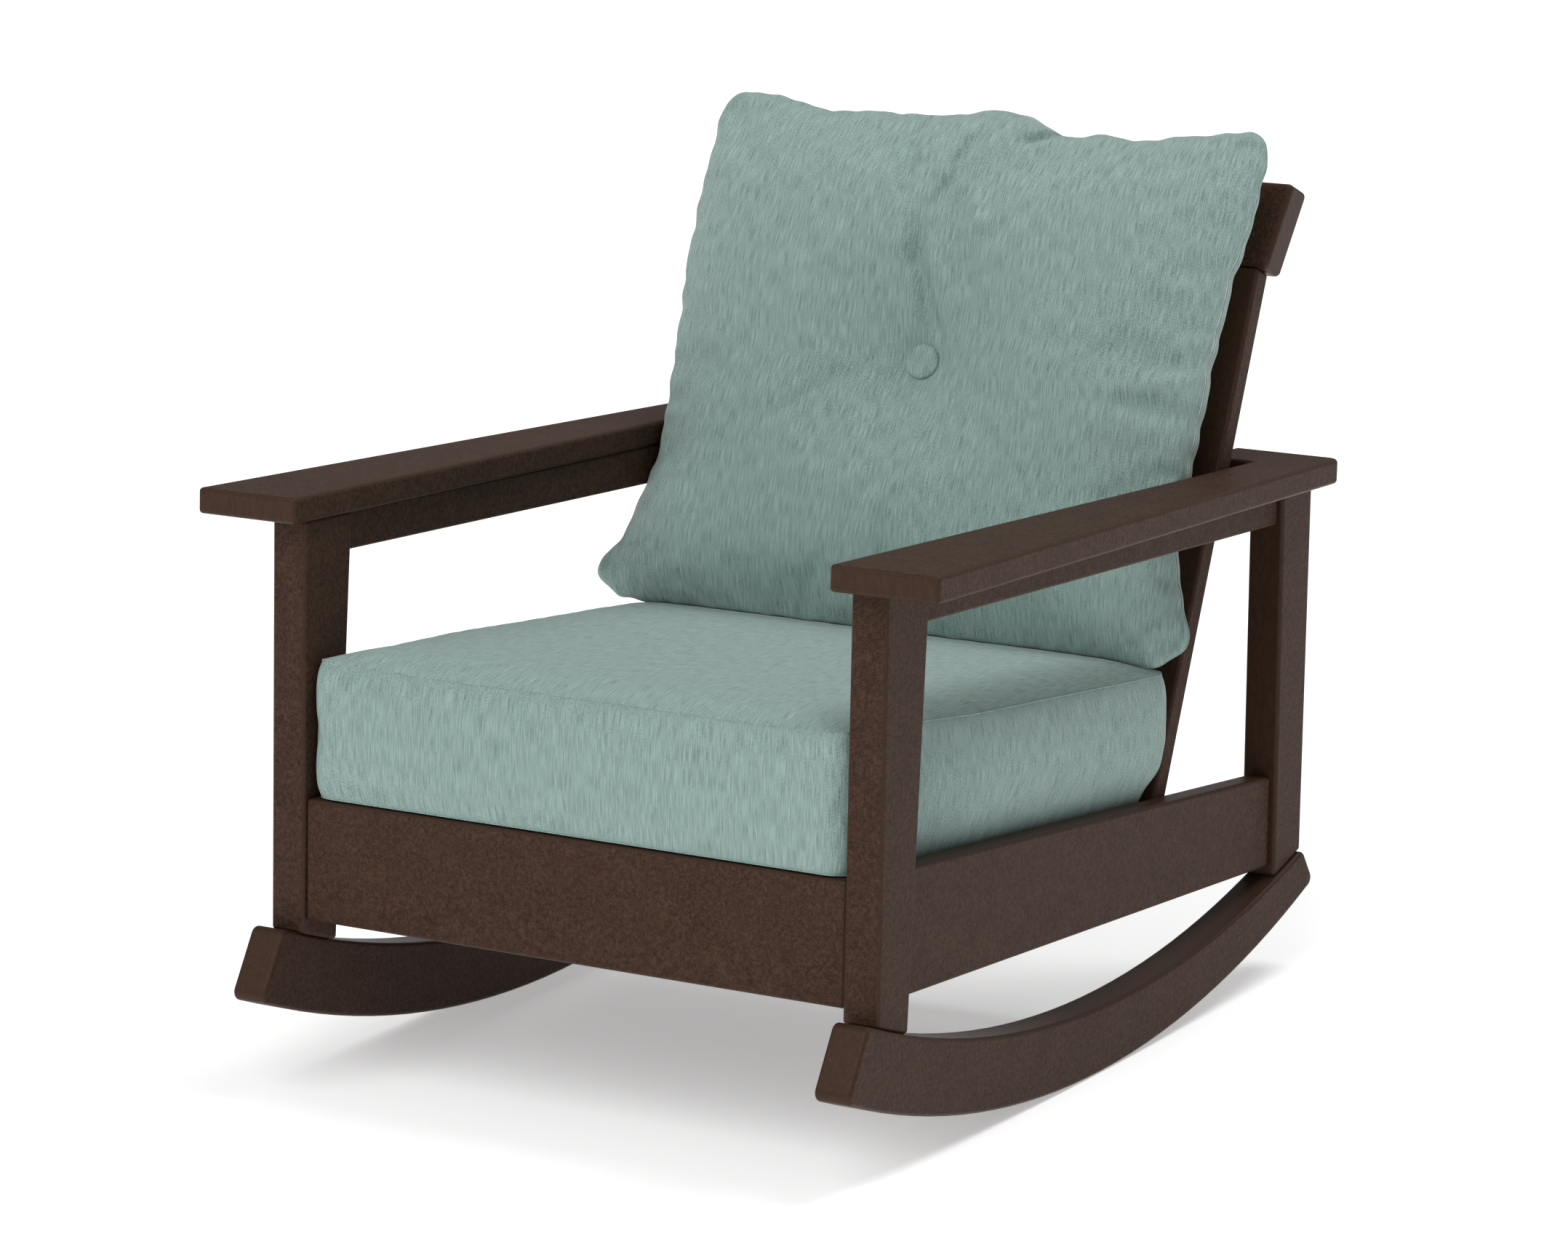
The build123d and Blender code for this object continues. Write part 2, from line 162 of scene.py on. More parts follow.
# ---- node trees ----------------------------------------------------------------------
class Tree:
    """A material's node tree, written in few words."""

    def __init__(self, name: str) -> None:
        """Start a material with one Principled shader.

        Args:
            name: the material's name.
        """
        self.material = bpy.data.materials.new(name)
        self.material.use_nodes = True
        self.nodes = self.material.node_tree.nodes
        self.links = self.material.node_tree.links
        self.nodes.clear()
        self.shader = self.nodes.new("ShaderNodeBsdfPrincipled")
        output = self.nodes.new("ShaderNodeOutputMaterial")
        self.links.new(self.shader.outputs["BSDF"], output.inputs["Surface"])

    def put(self, socket: Socket, value: Value) -> None:
        """Link a socket to another, or set it to a plain value.

        Args:
            socket: the input.
            value: an output to link, a number, or a colour.
        """
        if isinstance(value, bpy.types.NodeSocket):
            self.links.new(value, socket)
        elif isinstance(value, tuple) and len(value) == 3 and socket.type == "RGBA":
            socket.default_value = (*value, 1.0)
        else:
            socket.default_value = value

    def node(self, kind: str, **inputs: Value) -> bpy.types.Node:
        """Add a node and fill the inputs that are named, with _ for a space.

        Args:
            kind: its type, after "ShaderNode".
            inputs: values by input name.

        Returns:
            The node.
        """
        made = self.nodes.new("ShaderNode" + kind)
        for name, value in inputs.items():
            self.put(made.inputs[name.replace("_", " ")], value)
        return made

    def math(self, operation: str, *values: Value, clamp: bool = False) -> Socket:
        """Add a Math node.

        Args:
            operation: what it does.
            values: its inputs, in order.
            clamp: keep the result from 0 to 1.

        Returns:
            Its output.
        """
        made = self.nodes.new("ShaderNodeMath")
        made.operation = operation
        made.use_clamp = clamp
        for socket, value in zip(made.inputs, values):
            self.put(socket, value)
        return made.outputs[0]

    def span(self, value: Value, ends: Pair, out: Pair = (0.0, 1.0)) -> Socket:
        """Add a clamped Map Pair node with smooth ends.

        Args:
            value: what is mapped.
            ends: the values that map to the ends of out.
            out: the range of the result.

        Returns:
            Its output.
        """
        made = self.nodes.new("ShaderNodeMapRange")
        made.interpolation_type = "SMOOTHSTEP"
        self.put(made.inputs["Value"], value)
        for name, number in zip(("From Min", "From Max", "To Min", "To Max"), (*ends, *out)):
            made.inputs[name].default_value = number
        return made.outputs[0]

    def noise(self, vector: Socket, scale: float, detail: float = 2.0, roughness: float = 0.5) -> Socket:
        """Factor output of a Noise Texture."""
        made = self.node("TexNoise", Vector=vector, Scale=scale, Detail=detail, Roughness=roughness)
        return made.outputs[0]

    def stretched(self, vector: Socket, x: float, y: float, z: float = 1.0) -> Socket:
        """Scale a vector on each axis.

        Args:
            vector: places.
            x: scale on the first axis.
            y: scale on the second.
            z: scale on the third.

        Returns:
            The scaled places.
        """
        made = self.nodes.new("ShaderNodeVectorMath")
        made.operation = "MULTIPLY"
        self.put(made.inputs[0], vector)
        made.inputs[1].default_value = (x, y, z)
        return made.outputs[0]

    def mix(self, factor: Value, first: Value, second: Value) -> Socket:
        """Mix two colours.

        Args:
            factor: share of the second colour.
            first: a colour.
            second: another.

        Returns:
            The mixed colour.
        """
        made = self.nodes.new("ShaderNodeMix")
        made.data_type = "RGBA"
        self.put(made.inputs["Factor"], factor)
        colours = [s for s in made.inputs if s.type == "RGBA"]
        self.put(colours[0], first)
        self.put(colours[1], second)
        return [s for s in made.outputs if s.type == "RGBA"][0]

    def bump(self, height: Socket, strength: float, distance: float) -> Socket:
        """Normal output of a Bump node."""
        return self.node("Bump", Height=height, Strength=strength, Distance=distance).outputs[0]

    def surface(self, **inputs: Value) -> None:
        """Fill the shader's inputs, with _ for a space."""
        for name, value in inputs.items():
            self.put(self.shader.inputs[name.replace("_", " ")], value)


# ---- finishes ------------------------------------------------------------------------
class Faces(Enum):
    """Which broad faces of a board keep the embossed skin; its other faces are sawn."""

    SIDES = "sides"
    SIDES_AND_FRONT = "sides_and_front"
    TOP_AND_BOTTOM = "top_and_bottom"
    BACK_FACES = "back_faces"
    FRONT = "front"
    NONE = "none"

    def normals(self) -> list[Vector]:
        """Unit normals of the embossed faces, one for each opposite pair.

        Returns:
            The normals.
        """
        pitch = AXES.pitch
        across = Vector((1, 0, 0))
        front = Vector((0, math.cos(pitch), math.sin(pitch)))
        upright = Vector((0, -math.sin(pitch), math.cos(pitch)))
        return {
            Faces.SIDES: [across],
            Faces.SIDES_AND_FRONT: [across, front],
            Faces.TOP_AND_BOTTOM: [upright, across],
            Faces.BACK_FACES: [AXES.forward()],
            Faces.FRONT: [front],
            Faces.NONE: [],
        }[self]


@dataclass(frozen=True)
class LumberFinish:
    """Recycled plastic lumber: a fine embossed skin on broad faces, smooth sawn edges."""

    skin_dark: Colour = (0.022, 0.0095, 0.0052)
    skin_light: Colour = (0.086, 0.0455, 0.0290)
    sawn: Colour = (0.046, 0.0235, 0.0145)
    sawn_tints: Pair = (0.86, 1.18)
    skin_facing: Pair = (0.86, 0.985)
    grain: float = 620.0
    coarse_grain: float = 0.37
    grain_shares: Pair = (0.62, 0.38)
    speckles: Pair = (0.36, 0.66)
    speckle_share: float = 0.72
    mottle: float = 34.0
    mottle_share: float = 0.34
    tone_drop: float = 0.06
    saw_marks: Scales = (60.0, 60.0, 14.0)
    saw_scale: float = 6.0
    saw_span: Pair = (0.3, 0.75)
    skin_roughness: float = 0.56
    sawn_roughness: float = 0.42
    roughness_spread: float = 0.16
    gloss: float = 0.12
    relief: float = 0.0008
    relief_strength: float = 0.6
    sawn_relief: float = 0.10

    def _broad(self, tree: Tree, faces: Faces) -> Value:
        """How far each point belongs to an embossed face.

        Args:
            tree: the material's tree.
            faces: the faces with the embossed skin.

        Returns:
            1 on the skin, 0 on sawn edges.
        """
        normals = tree.node("TexCoord").outputs["Normal"]
        broad = 0.0
        for normal in faces.normals():
            dot = tree.nodes.new("ShaderNodeVectorMath")
            dot.operation = "DOT_PRODUCT"
            tree.put(dot.inputs[0], normals)
            dot.inputs[1].default_value = normal
            facing = tree.span(tree.math("ABSOLUTE", dot.outputs["Value"]), self.skin_facing)
            broad = tree.math("MAXIMUM", broad, facing)
        return broad

    def material(self, faces: Faces) -> bpy.types.Material:
        """Lumber for boards whose embossed faces are the ones named.

        Args:
            faces: the faces with the embossed skin.

        Returns:
            The material.
        """
        tree = Tree(f"lumber_{faces.value}")
        where = tree.node("TexCoord").outputs["Object"]
        broad = self._broad(tree, faces)
        fine = tree.noise(where, self.grain, 3.0, 0.62)
        coarse = tree.noise(where, self.grain * self.coarse_grain, 2.0, 0.5)
        cloud = tree.noise(where, self.mottle, 3.0, 0.55)
        grains = tree.math(
            "ADD",
            tree.math("MULTIPLY", fine, self.grain_shares[0]),
            tree.math("MULTIPLY", coarse, self.grain_shares[1]),
        )
        speckle = tree.span(grains, self.speckles)
        toned = tree.math(
            "ADD",
            tree.math("MULTIPLY", speckle, self.speckle_share),
            tree.math("MULTIPLY", cloud, self.mottle_share),
        )
        tone = tree.math("SUBTRACT", toned, self.tone_drop, clamp=True)
        skin = tree.mix(tone, self.skin_dark, self.skin_light)
        saw = tree.noise(tree.stretched(where, *self.saw_marks), self.saw_scale, 3.0, 0.6)
        dull, bright = (tuple(tint * v for v in self.sawn) for tint in self.sawn_tints)
        edge = tree.mix(tree.span(saw, self.saw_span), dull, bright)
        rough = tree.math("MULTIPLY", broad, self.skin_roughness - self.sawn_roughness)
        rough = tree.math("ADD", rough, self.sawn_roughness)
        uneven = tree.math("MULTIPLY", tree.math("SUBTRACT", fine, 0.5), self.roughness_spread)
        depth = tree.math("MULTIPLY", broad, 1 - self.sawn_relief)
        height = tree.math("MULTIPLY", speckle, tree.math("ADD", depth, self.sawn_relief))
        tree.surface(
            Base_Color=tree.mix(broad, edge, skin),
            Roughness=tree.math("ADD", rough, uneven),
            Specular_IOR_Level=self.gloss,
            Normal=tree.bump(height, self.relief_strength, self.relief),
        )
        return tree.material


@dataclass(frozen=True)
class ClothFinish:
    """Heathered twill: fine diagonal ribs, slub threads along the warp, flecked colour."""

    dark: Colour = (0.082, 0.125, 0.113)
    mid: Colour = (0.262, 0.362, 0.337)
    light: Colour = (0.455, 0.580, 0.545)
    dusk: Pair = (0.58, 0.86)
    dawn: Pair = (0.82, 1.16)
    rib: float = 0.0021
    rib_share: float = 0.24
    counter_rib: float = 0.5
    rib_drift: float = 0.0016
    drift_scale: float = 90.0
    slubs: Pair = (820.0, 48.0)
    slub_share: float = 0.42
    weft: Pair = (200.0, 1100.0)
    weft_share: float = 0.20
    flecks: Pair = (1000.0, 760.0)
    fleck_share: float = 0.66
    clouds: float = 60.0
    cloud_share: float = 0.12
    roughness: float = 0.92
    gloss: float = 0.2
    sheen: float = 0.22
    sheen_roughness: float = 0.45
    relief: float = 0.0004
    relief_strength: float = 0.3
    rib_relief: float = 0.55
    slub_relief: float = 0.45

    def _ribs(self, tree: Tree, where: Socket) -> Socket:
        """Diagonal ribs that wander a little, crossed by fainter ones.

        Args:
            tree: the material's tree.
            where: places on the cloth map.

        Returns:
            Their height, about 0 to 1.
        """
        drift = tree.noise(where, self.drift_scale, 2.0)
        parts = tree.node("SeparateXYZ", Vector=where)
        across, along = parts.outputs[0], parts.outputs[1]
        turn = 2 * math.pi / self.rib
        wander = tree.math("MULTIPLY", drift, self.rib_drift)
        bent = tree.math("ADD", tree.math("ADD", across, along), wander)
        main_rib = tree.math("SINE", tree.math("MULTIPLY", bent, turn))
        counter = tree.math("SINE", tree.math("MULTIPLY", tree.math("SUBTRACT", across, along), turn))
        both = tree.math("MULTIPLY_ADD", counter, self.counter_rib, main_rib)
        return tree.math("MULTIPLY_ADD", both, 0.33, 0.5)

    def material(self, name: str) -> bpy.types.Material:
        """Cloth that follows the piece's cloth map, which is in metres.

        Args:
            name: the material's name.

        Returns:
            The material.
        """
        tree = Tree(name)
        chart = tree.nodes.new("ShaderNodeUVMap")
        chart.uv_map = CLOTH_MAP
        where = chart.outputs[0]
        rib = self._ribs(tree, where)
        slub = tree.noise(tree.stretched(where, *self.slubs), 1.0, 1.0, 0.5)
        weft = tree.noise(tree.stretched(where, *self.weft), 1.0, 1.0, 0.5)
        fleck = tree.noise(tree.stretched(where, *self.flecks), 1.0, 2.0, 0.7)
        cloud = tree.noise(where, self.clouds, 3.0, 0.6)
        threads = (
            (weft, self.weft_share),
            (fleck, self.fleck_share),
            (rib, self.rib_share),
            (cloud, self.cloud_share),
        )
        tone = tree.math("MULTIPLY", slub, self.slub_share)
        for value, share in threads:
            tone = tree.math("ADD", tone, tree.math("MULTIPLY", value, share))
        shade = tree.mix(tree.span(tone, self.dusk), self.dark, self.mid)
        ribs = tree.math("MULTIPLY", rib, self.rib_relief)
        warp = tree.math("MULTIPLY", slub, self.slub_relief)
        tree.surface(
            Base_Color=tree.mix(tree.span(tone, self.dawn), shade, self.light),
            Roughness=self.roughness,
            Specular_IOR_Level=self.gloss,
            Sheen_Weight=self.sheen,
            Sheen_Roughness=self.sheen_roughness,
            Normal=tree.bump(tree.math("ADD", ribs, warp), self.relief_strength, self.relief),
        )
        return tree.material


@dataclass(frozen=True)
class SimpleFinish:
    """A finish of two colours broken up by a noise, with a matching fine relief."""

    name: str
    first: Colour
    second: Colour
    scale: float
    roughness: float
    metallic: float = 0.0
    relief: float = 0.0003
    stretch: Scales = (1.0, 1.0, 1.0)
    glow: float = 0.0
    patch_scale: float = 0.13
    patch_share: float = 0.4
    colour_span: Pair = (0.35, 0.65)
    patch_span: Pair = (0.3, 0.7)
    roughness_spread: float = 0.08
    relief_strength: float = 0.4

    def material(self) -> bpy.types.Material:
        """The finish as a material.

        Returns:
            The material.
        """
        tree = Tree(self.name)
        where = tree.stretched(tree.node("TexCoord").outputs["Object"], *self.stretch)
        noise = tree.noise(where, self.scale, 3.0, 0.6)
        worn = tree.noise(where, self.scale * self.patch_scale, 2.0, 0.5)
        fine = tree.math("MULTIPLY", noise, 1 - self.patch_share)
        spread = tree.math("ADD", fine, tree.math("MULTIPLY", worn, self.patch_share))
        roughs = (self.roughness - self.roughness_spread, self.roughness + self.roughness_spread)
        tree.surface(
            Base_Color=tree.mix(tree.span(spread, self.colour_span), self.first, self.second),
            Roughness=tree.span(worn, self.patch_span, roughs),
            Metallic=self.metallic,
            Normal=tree.bump(noise, self.relief_strength, self.relief),
            Emission_Color=(1.0, 1.0, 1.0),
            Emission_Strength=self.glow,
        )
        return tree.material


SCREW_STEEL = SimpleFinish(
    "screw_steel",
    (0.42, 0.42, 0.41),
    (0.62, 0.62, 0.61),
    scale=900.0,
    roughness=0.34,
    metallic=1.0,
    relief=0.0001,
)
DOWEL_PLASTIC = SimpleFinish(
    "dowel_plastic", (0.03, 0.018, 0.013), (0.055, 0.034, 0.026), scale=300.0, roughness=0.5
)
CORD_TWIST = SimpleFinish(
    "tufting_twine", (0.42, 0.42, 0.37), (0.68, 0.68, 0.62), scale=700.0, roughness=0.9, relief=0.0004
)
FOAM_CELLS = SimpleFinish(
    "seat_foam_cells", (0.62, 0.58, 0.42), (0.86, 0.82, 0.66), scale=900.0, roughness=0.95, relief=0.0008
)
FIBRE_BAG = SimpleFinish(
    "fibre_bag", (0.70, 0.70, 0.67), (0.90, 0.90, 0.87), scale=480.0, roughness=0.95, relief=0.0008
)
ZIP_TAPE = SimpleFinish(
    "zip_tape_weave",
    (0.10, 0.15, 0.135),
    (0.20, 0.28, 0.255),
    scale=1.0,
    roughness=0.88,
    relief=0.0004,
    stretch=(900.0, 350.0, 350.0),
)
ZIP_TEETH = SimpleFinish(
    "zip_teeth_nylon", (0.12, 0.17, 0.155), (0.19, 0.26, 0.235), scale=600.0, roughness=0.42
)
PALE_FLOOR = SimpleFinish(
    "pale_floor", (0.93, 0.93, 0.93), (0.95, 0.95, 0.95), scale=3.0, roughness=0.9, relief=0.0, glow=0.38
)


# ---- mesh helpers --------------------------------------------------------------------
def wave(values: np.ndarray, lengths: Sequence[float], phases: Sequence[float]) -> np.ndarray:
    """Mean of sines of several wavelengths, for uneven but repeatable gathers."""
    return sum(np.sin(2 * math.pi * values / w + p) for w, p in zip(lengths, phases)) / len(lengths)


def smooth_knots(value: np.ndarray, knots: Knots) -> np.ndarray:
    """A smooth line through knots (place, value), flat past the ends.

    Args:
        value: the places to read.
        knots: place and value pairs, places rising.

    Returns:
        The line's value at each place.
    """
    xs, ys = np.array(knots, float).T
    v = np.clip(value, xs[0], xs[-1])
    k = np.clip(np.searchsorted(xs, v) - 1, 0, len(xs) - 2)
    slope = np.gradient(ys, xs)
    slope[0] = slope[-1] = 0.0
    h = xs[k + 1] - xs[k]
    t = (v - xs[k]) / h
    a, b = ys[k], ys[k + 1]
    ma, mb = slope[k] * h, slope[k + 1] * h
    return (
        a * (1 + 2 * t) * (1 - t) ** 2 + ma * t * (1 - t) ** 2
        + b * t * t * (3 - 2 * t) + mb * t * t * (t - 1)
    )


def soft_step(value: np.ndarray, start: float, end: float) -> np.ndarray:
    """0 before start, 1 after end, smooth between."""
    t = np.clip((value - start) / (end - start), 0, 1)
    return t * t * (3 - 2 * t)


def hump(gap: np.ndarray, width: float, power: int = 2) -> np.ndarray:
    """1 where the gap is 0, falling to nothing a few widths away."""
    return np.exp(-((gap / width) ** power))


def line_distance(x: np.ndarray, y: np.ndarray, line: Knots) -> tuple[np.ndarray, np.ndarray]:
    """Distance of points from an open line, and how far along it they are, 0 to 1.

    Args:
        x: the points' first coordinates.
        y: the points' second coordinates.
        line: the line's points.

    Returns:
        The distances, and the shares of the line's length.
    """
    best = np.full(np.shape(x), np.inf)
    along = np.zeros(np.shape(x))
    count = len(line) - 1
    for i, ((ax, ay), (bx, by)) in enumerate(zip(line[:-1], line[1:])):
        t = ((x - ax) * (bx - ax) + (y - ay) * (by - ay)) / ((bx - ax) ** 2 + (by - ay) ** 2)
        t = np.clip(t, 0, 1)
        gap = np.hypot(x - ax - t * (bx - ax), y - ay - t * (by - ay))
        near = gap < best
        best = np.where(near, gap, best)
        along = np.where(near, (i + t) / count, along)
    return best, along


def round_corners(s: np.ndarray, t: np.ndarray, rs: float, rt: float) -> tuple[np.ndarray, np.ndarray]:
    """Move points of the square -1..1 so that its corners follow quarter circles.

    Args:
        s: the points' first coordinates.
        t: the points' second coordinates.
        rs: the corners' radius along the first axis.
        rt: the corners' radius along the second axis.

    Returns:
        The moved coordinates.
    """
    p = np.clip((np.abs(s) - (1 - rs)) / rs, 0, 1)
    q = np.clip((np.abs(t) - (1 - rt)) / rt, 0, 1)
    s_arc = 1 - rs + rs * p * np.sqrt(1 - q * q / 2)
    t_arc = 1 - rt + rt * q * np.sqrt(1 - p * p / 2)
    return (
        np.sign(s) * np.where(np.abs(s) > 1 - rs, s_arc, np.abs(s)),
        np.sign(t) * np.where(np.abs(t) > 1 - rt, t_arc, np.abs(t)),
    )


@dataclass
class PanelGrid:
    """Two grids of cloth, face to face, sewn together or to a band between them."""

    columns: int
    rows: int
    band_rows: int = 0
    hem: float = 0.005
    thin_share: float = 0.35
    edge_draw: float = 1.6

    def __post_init__(self) -> None:
        """Number the vertices and list the ring of cells round the edge."""
        nx, ny = self.columns, self.rows
        count = (nx + 1) * (ny + 1)
        self.top = np.arange(count).reshape(nx + 1, ny + 1)
        ring = [(i, 0) for i in range(nx)] + [(nx, j) for j in range(ny)]
        ring += [(i, ny) for i in range(nx, 0, -1)] + [(0, j) for j in range(ny, 0, -1)]
        self.ring = np.array(ring)
        self.bottom = self.top + count
        total = 2 * count
        if not self.band_rows:
            edge = np.zeros_like(self.top, bool)
            edge[self.ring[:, 0], self.ring[:, 1]] = True
            inner = ~edge
            self.bottom = self.top.copy()
            self.bottom[inner] = count + np.arange(inner.sum())
            total = count + int(inner.sum())
        self.band = [self.on_ring(self.top)]
        for _ in range(max(self.band_rows - 1, 0)):
            self.band.append(total + np.arange(len(ring)))
            total += len(ring)
        self.band.append(self.on_ring(self.bottom))
        self.total = total

    def on_ring(self, grid: np.ndarray) -> np.ndarray:
        """The grid's values round its edge, anticlockwise from the first corner."""
        return grid[self.ring[:, 0], self.ring[:, 1]]

    def lines(self, count: int) -> np.ndarray:
        """Places of the grid's lines from -1 to 1, with one close to each edge for the seam."""
        inner = np.linspace(-1, 1, count - 1)[1:-1]
        return np.concatenate([[-1, self.hem - 1], inner, [1 - self.hem, 1]])

    def square(self) -> tuple[np.ndarray, np.ndarray]:
        """The grid's own coordinates, -1 to 1 each way."""
        return np.meshgrid(self.lines(self.columns), self.lines(self.rows), indexing="ij")

    def chart(self, panel: np.ndarray) -> np.ndarray:
        """Cloth-map numbers of a panel's points: lengths along the cloth from its middle.

        Args:
            panel: the panel's points, shape (columns + 1, rows + 1, 3).

        Returns:
            Two lengths for each point, in metres.
        """
        across = np.linalg.norm(np.diff(panel, axis=0), axis=2)
        along = np.linalg.norm(np.diff(panel, axis=1), axis=2)
        x = np.concatenate([np.zeros((1, panel.shape[1])), np.cumsum(across, 0)])
        y = np.concatenate([np.zeros((panel.shape[0], 1)), np.cumsum(along, 1)], axis=1)
        return np.stack([x - x[self.columns // 2], y - y[:, self.rows // 2, None]], axis=-1)

    def panel_corners(self, values: np.ndarray, flip: bool) -> np.ndarray:
        """A panel's values for each corner of each of its quads.

        Args:
            values: one row of numbers for each point of the panel.
            flip: wind the quads the other way.

        Returns:
            The values, shape (quads, 4, numbers).
        """
        corners = [values[:-1, :-1], values[1:, :-1], values[1:, 1:], values[:-1, 1:]]
        block = np.stack([c.reshape(-1, values.shape[-1]) for c in corners], axis=1)
        return block[:, ::-1] if flip else block

    def shrunk(self, places: np.ndarray, inset: float) -> np.ndarray:
        """The form's points moved inward, for a filling under the cloth.

        Args:
            places: the form's points.
            inset: how far they move, less where the form is thin.

        Returns:
            The moved points.
        """
        inner = places.copy()
        top, low = places[self.top], places[self.bottom]
        gap = np.linalg.norm(top - low, axis=2, keepdims=True)
        share = np.minimum(inset, self.thin_share * gap) / np.maximum(gap, TINY)
        inner[self.top] = top - share * (top - low)
        inner[self.bottom] = low + share * (top - low)
        for ring in self.band:
            out = places[ring] - places[ring].mean(0)
            length = np.linalg.norm(out, axis=1, keepdims=True)
            inner[ring] = inner[ring] - self.edge_draw * inset * out / length
        return inner

    def faces(self) -> list[list[int]]:
        """Quads of the whole form: the top, the bottom, then the band.

        Returns:
            Vertex numbers of each quad.
        """
        panels = ((self.top, False), (self.bottom, True))
        blocks = [self.panel_corners(grid[..., None], flip)[..., 0] for grid, flip in panels]
        if self.band_rows:
            for high, low in zip(self.band[:-1], self.band[1:]):
                blocks.append(np.stack([high, low, np.roll(low, -1), np.roll(high, -1)], axis=1))
        return np.concatenate(blocks).tolist()


def add_mesh(
    name: str, points: np.ndarray, faces: Sequence[Sequence[int]], smooth: bool = True
) -> bpy.types.Object:
    """A new mesh object in the scene.

    Args:
        name: its name.
        points: vertex places, in metres, row frame.
        faces: vertex numbers of each face.
        smooth: shade it smooth.

    Returns:
        The object.
    """
    mesh = bpy.data.meshes.new(name)
    mesh.from_pydata(np.asarray(points, float).tolist(), [], [list(f) for f in faces])
    mesh.update()
    if smooth:
        mesh.polygons.foreach_set("use_smooth", [True] * len(mesh.polygons))
    made = bpy.data.objects.new(name, mesh)
    bpy.context.scene.collection.objects.link(made)
    return made


def add_cloth_map(piece: bpy.types.Object, corners: np.ndarray) -> None:
    """Give a mesh its cloth map: two numbers in metres for each face corner."""
    layer = piece.data.uv_layers.new(name=CLOTH_MAP)
    layer.data.foreach_set("uv", np.asarray(corners, np.float32).ravel())


def vertex_places(piece: bpy.types.Object) -> np.ndarray:
    """The mesh's vertex places as an array.

    Args:
        piece: the mesh object.

    Returns:
        The places, shape (vertices, 3).
    """
    places = np.zeros(len(piece.data.vertices) * 3, np.float32)
    piece.data.vertices.foreach_get("co", places)
    return places.reshape(-1, 3).astype(float)


def set_places(piece: bpy.types.Object, places: np.ndarray) -> None:
    """Write vertex places back to the mesh."""
    piece.data.vertices.foreach_set("co", np.asarray(places, np.float32).ravel())
    piece.data.update()


def refined(piece: bpy.types.Object) -> bpy.types.Object:
    """Make one level of subdivision of a piece real.

    Args:
        piece: the mesh object.

    Returns:
        The same object with its new mesh.
    """
    modifier = piece.modifiers.new("refine", "SUBSURF")
    modifier.levels = 1
    modifier.uv_smooth = "NONE"
    mesh = bpy.data.meshes.new_from_object(piece.evaluated_get(bpy.context.evaluated_depsgraph_get()))
    piece.modifiers.clear()
    piece.data = mesh
    return piece


def tube(
    centres: np.ndarray, radius: float, sides: int = 8
) -> tuple[np.ndarray, list[tuple[int, ...]]]:
    """A closed ring of tube along centres.

    Args:
        centres: points of a closed line.
        radius: the tube's radius.
        sides: corners of its section.

    Returns:
        Its vertex places and faces.
    """
    ahead = np.roll(centres, -1, 0) - np.roll(centres, 1, 0)
    ahead /= np.linalg.norm(ahead, axis=1, keepdims=True)
    hub = centres.mean(0)
    out = centres - hub
    out -= ahead * (out * ahead).sum(1, keepdims=True)
    out /= np.linalg.norm(out, axis=1, keepdims=True)
    side = np.cross(ahead, out)
    angles = np.arange(sides) * 2 * math.pi / sides
    ring = [centres + radius * (math.cos(a) * out + math.sin(a) * side) for a in angles]
    quads = [
        (i * sides + k, j * sides + k, j * sides + m, i * sides + m)
        for i, j in neighbours(len(centres))
        for k, m in neighbours(sides)
    ]
    return np.stack(ring, 1).reshape(-1, 3), quads


def neighbours(count: int) -> list[tuple[int, int]]:
    """Each number of a closed ring with the next one round."""
    return [(k, (k + 1) % count) for k in range(count)]


def box_mesh(
    centre: np.ndarray, axes: Sequence[np.ndarray], sizes: Scales
) -> tuple[list[np.ndarray], list[tuple[int, ...]]]:
    """A small block.

    Args:
        centre: its middle.
        axes: its three unit axes.
        sizes: its size along each axis.

    Returns:
        Its corners and faces.
    """
    square = ((-1, -1), (1, -1), (1, 1), (-1, 1))
    signs = [(a, b, c) for c in (-1, 1) for a, b in square]
    points = [
        centre + sum(0.5 * k * size * np.asarray(axis) for k, size, axis in zip(sign, sizes, axes))
        for sign in signs
    ]
    sides = [(a, b, b + 4, a + 4) for a, b in neighbours(4)]
    return points, [(0, 3, 2, 1), (4, 5, 6, 7)] + sides


